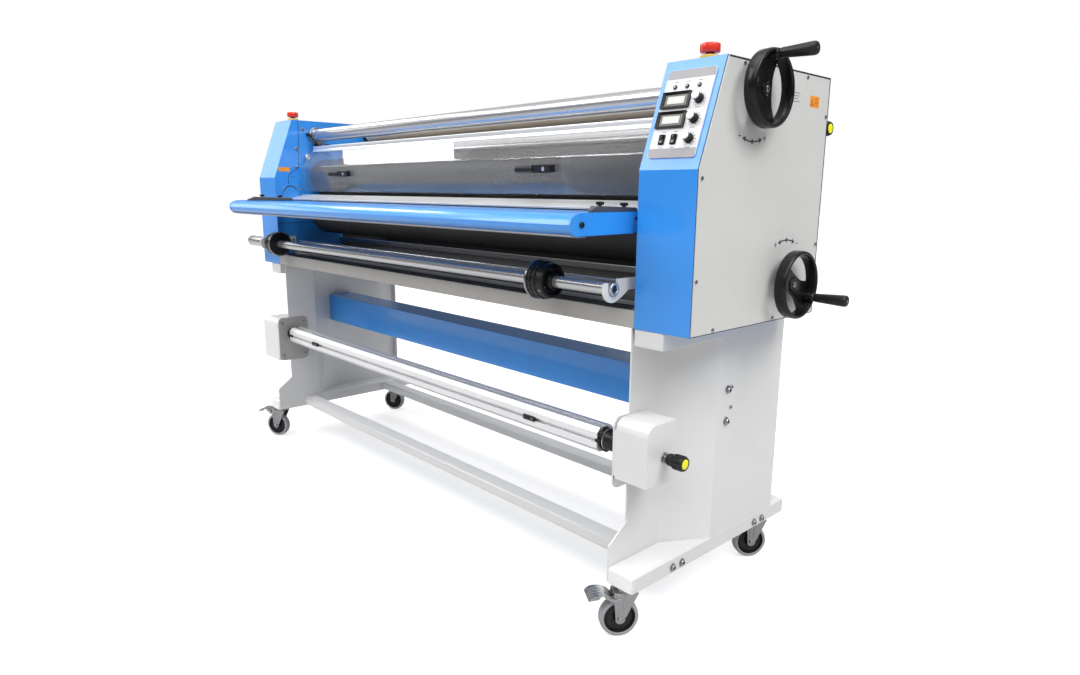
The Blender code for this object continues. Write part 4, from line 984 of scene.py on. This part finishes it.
# ------------------------------------------------------------------- casters
def caster(tag, stem, direction, braked):
    place = Matrix.Translation(Vector((stem[0], stem[1], 0))) @ Matrix.Rotation(math.atan2(direction[1],
        direction[0]), 4, "Z")
    axle = (18, 45)
    fork = Piece("fork_%s_body" % tag)
    cheek = [(-21.5, 108.5), (-22.5, 104), (-19, 98), (-9, 78), (3, 52)]
    cheek += arc(axle, 11.5, 165, 375, 16)
    cheek += [(31, 66), (33.5, 86), (34, 105), (32, 108.5)]
    for side in (-1, 1):
        low, high = span(side, 15.7, 18.7)
        fork.prism(ZINC, "Y", cheek, low, high, place)
        low, high = span(side, 18, 19.8)
        fork.prism(ZINC, "Y", [(6, 106), (11, 106), (15, 60), (12.5, 57)], low, high, place)
        fork.prism(ZINC, "Y", [(21.5, 106), (26.5, 106), (24.5, 57), (22, 60)], low, high, place)
        fork.turn(STEEL, "Y", axle, flip(side, [(17, 7.2), (21.6, 7.2), (22, 6.2)]), 6, place)
        fork.turn(STEEL, "Y", axle, flip(side, [(21.5, 3.6), (23, 3.2)]), 20, place)
    fork.prism(ZINC, "Z", rounded((-22.5, 34), (-18.7, 18.7), 6, 4), 105.5, 108.5, place)
    fork.spin(ZINC, [(107.5, 20), (109, 22.8), (111, 23.5), (112.8, 22.8), (114.7, 19)], 48, place)
    fork.spin(STEEL, [(99, 8), (105.6, 8)], 6, place)
    fork.turn(STEEL, "Y", axle, [(-16.5, 4), (16.5, 4)], 20, place)
    fork.done("fork_" + tag, "zinc", "fork_" + tag, bevel=0.7)

    wheel = Piece("wheel_%s_tyre" % tag)
    tyre = [(-11.5, 36), (-12.4, 37.5), (-12.7, 39.5), (-12.4, 41.8), (-10.8, 43.8), (-7, 44.8), (0, 45),
        (7, 44.8), (10.8, 43.8), (12.4, 41.8), (12.7, 39.5), (12.4, 37.5), (11.5, 36)]
    wheel.turn(TYRE, "Y", axle, tyre, 80, place, ring=True)
    rim = [(-12, 34.5), (-11.6, 36.6), (11.6, 36.6), (12, 34.5), (7.5, 32.5), (4.5, 18), (7.5, 13.5),
        (14, 11), (14, 4.6), (-14, 4.6), (-14, 11), (-7.5, 13.5), (-4.5, 18), (-7.5, 32.5)]
    wheel.turn(BLACK, "Y", axle, rim, 72, place, ring=True)
    for side in (-1, 1):
        wheel.turn(BLACK, "Y", axle, flip(side, [(4, 13), (8.2, 14), (9.6, 22), (8.8, 30), (7, 33),
            (4, 33)]), 60, place, ring=True)
    wheel.done("wheel_" + tag, "tyre_grey", "wheel_" + tag)
    if not braked:
        return
    pedal = Piece("pedal_%s_plate" % tag)
    path = [(36.2, 96.5), (42, 103.5), (50, 107.2), (60, 109.2), (72, 109), (82, 107.4), (88.5, 103.6),
        (93, 98.5)]
    wide = [20.5, 20.5, 21, 24, 25.5, 25.8, 25.5, 24.5]
    rows = []
    for (p, q), w in zip(path, wide):
        rows += [place @ Vector((p, -w, q + 0.8)), place @ Vector((p, w, q + 0.8)),
            place @ Vector((p - 0.8, w, q - 1.6)), place @ Vector((p - 0.8, -w, q - 1.6))]
    faces = [(0, 1, 2, 3), tuple(range(4 * len(path) - 4, 4 * len(path)))]
    for i in range(len(path) - 1):
        for k in range(4):
            m = (k + 1) % 4
            faces.append((4 * i + k, 4 * i + m, 4 * i + 4 + m, 4 * i + 4 + k))
    pedal._add(rows, faces, ZINC, None)
    for side in (-1, 1):
        low, high = span(side, 19.2, 21.1)
        pedal.prism(ZINC, "Y", [(20, 88), (38, 89), (48, 96), (56, 102), (56, 107), (50, 106), (40, 99),
            (37, 97), (20, 95.8)], low, high, place)
        pedal.prism(ZINC, "Y", [(64, 108), (70, 101), (85, 99.5), (90.5, 99), (88, 103), (82, 106.6),
            (72, 108.2)], *span(side, 22.8, 24.8), place)
        pedal.turn(STEEL, "Y", (25, 92), flip(side, [(20.9, 3.2), (22.2, 2.8)]), 16, place)
    for i in range(4):
        w = -15 + i * 10
        pedal.prism(ZINC, "Y", [(56, 108), (60, 110.6), (72, 110.6), (82, 109), (88, 104.8), (86, 104),
            (72, 108)], w - 1.6, w + 1.6, place)
    pedal.done("pedal_" + tag, "zinc", "pedal_" + tag, bevel=0.6)


def build_casters():
    for side, tag, direction in ((1, "right", (-0.55, -0.835)), (-1, "left", (-0.85, -0.53))):
        caster("front_" + tag, (side * STEM_X, FRONT_STEM), direction, True)
        caster("rear_" + tag, (side * STEM_X, REAR_STEM), direction, False)


# --------------------------------------------------------------------- stage
def show_camera(tree, seen, others, target):
    """Camera rays get the shader `seen`, all other rays get `others`."""
    path = tree.nodes.new("ShaderNodeLightPath")
    mix = tree.nodes.new("ShaderNodeMixShader")
    tree.links.new(path.outputs["Is Camera Ray"], mix.inputs["Fac"])
    tree.links.new(others, mix.inputs[1])
    tree.links.new(seen, mix.inputs[2])
    tree.links.new(mix.outputs["Shader"], target.inputs["Surface"])


def add_lamp(name, kind, energy):
    data = bpy.data.lights.new(name, kind)
    data.energy = energy
    lamp = bpy.data.objects.new(name, data)
    bpy.context.scene.collection.objects.link(lamp)
    return lamp


def build_stage():
    floor_mat = surface("studio_floor", (0.58, 0.58, 0.58), 0.55, grain=40, depth=0.02, tint=0.01)
    bm = bmesh.new()
    bmesh.ops.create_grid(bm, x_segments=2, y_segments=2, size=40.0)
    mesh = bpy.data.meshes.new("studio_floor")
    bm.to_mesh(mesh)
    bm.free()
    mesh.materials.append(floor_mat)
    floor = bpy.data.objects.new("studio_floor", mesh)
    bpy.context.scene.collection.objects.link(floor)
    tree = floor_mat.node_tree
    seen = tree.nodes["Principled BSDF"]
    setup(seen, Emission_Color=(1, 1, 1, 1), Emission_Strength=0.52)
    bounce = setup(tree.nodes.new("ShaderNodeBsdfDiffuse"), Color=(0.48, 0.48, 0.48, 1))
    show_camera(tree, seen.outputs["BSDF"], bounce.outputs["BSDF"], tree.nodes["Material Output"])

    world = bpy.data.worlds.new("studio")
    bpy.context.scene.world = world
    world.use_nodes = True
    tree = world.node_tree
    room = tree.nodes["Background"]
    backdrop = setup(tree.nodes.new("ShaderNodeBackground"), Color=(1, 1, 1, 1), Strength=1.0)
    coords = tree.nodes.new("ShaderNodeTexCoord")
    split = tree.nodes.new("ShaderNodeSeparateXYZ")
    ramp = tree.nodes.new("ShaderNodeValToRGB")
    tree.links.new(coords.outputs["Generated"], split.inputs["Vector"])
    tree.links.new(split.outputs["Z"], ramp.inputs["Fac"])
    ramp.color_ramp.elements[0].position = 0.0
    ramp.color_ramp.elements[0].color = (0.34, 0.34, 0.35, 1)
    ramp.color_ramp.elements[1].position = 0.85
    ramp.color_ramp.elements[1].color = (1.0, 1.0, 1.0, 1)
    for position, level in ((0.10, 0.10), (0.22, 0.16), (0.34, 0.62)):
        stop = ramp.color_ramp.elements.new(position)
        stop.color = (level, level, level * 1.02, 1)
    tree.links.new(ramp.outputs["Color"], room.inputs["Color"])
    setup(room, Strength=0.66)
    show_camera(tree, backdrop.outputs["Background"], room.outputs["Background"],
        tree.nodes["World Output"])
    bpy.context.scene.view_settings.view_transform = "Standard"

    lamp = add_lamp("ceiling", "SUN", 2.6)
    lamp.data.angle = math.radians(80.0)
    lamp.rotation_euler = Vector((-0.24, 0.36, -0.90)).to_track_quat("-Z", "Y").to_euler()

    centre = Vector((0.0, 0.0, 0.75))
    for name, place, size, power in (
        ("key", (-2.2, -2.9, 3.9), 3.0, 95.0),
        ("left_low", (-4.7, -1.4, 2.2), 1.4, 8.0),
        ("side", (3.2, 0.1, 3.5), 2.0, 62.0),
        ("glint", (-3.6, -0.3, 3.2), 1.3, 25.0),
        ("top", (-0.4, -0.6, 4.6), 2.6, 18.0),
        ("rear", (-1.0, 3.6, 2.6), 2.4, 25.0),
    ):
        lamp = add_lamp(name, "AREA", power)
        lamp.data.shape = "RECTANGLE"
        lamp.data.size = size
        lamp.data.size_y = size * 0.7
        lamp.location = place
        lamp.rotation_euler = (centre - Vector(place)).to_track_quat("-Z", "Y").to_euler()


def build_camera():
    azimuth = math.radians(47.0185)
    pitch = math.radians(11.384)
    roll = math.radians(0.4995)
    direction = Vector((-math.sin(azimuth) * math.cos(pitch), math.cos(azimuth) * math.cos(pitch),
        -math.sin(pitch)))
    right = Vector((math.cos(azimuth), math.sin(azimuth), 0))
    up = right.cross(direction)
    right_r = right * math.cos(roll) + up * math.sin(roll)
    up_r = up * math.cos(roll) - right * math.sin(roll)
    data = bpy.data.cameras.new("camera")
    data.lens = 24.12
    data.sensor_width = 36.0
    data.clip_end = 100.0
    camera = bpy.data.objects.new("camera", data)
    bpy.context.scene.collection.objects.link(camera)
    turn = Matrix((right_r, up_r, -direction)).transposed().to_4x4()
    camera.matrix_world = Matrix.Translation(Vector((1.8518, -1.4716, 0.9763)) + ORIGIN) @ turn
    bpy.context.scene.camera = camera


build_camera()
build_stage()
build_stand()
build_heads()
build_cover_graphics()
build_cross_members()
build_table()
build_shield()
build_rollers()
build_supply()
build_takeup()
handwheel("upper_handwheel", UPPER_WHEEL, 90.0, "upper_grip")
handwheel("lower_handwheel", LOWER_WHEEL, -30.0, "lower_grip")
build_controls()
build_casters()
bpy.context.view_layer.update()
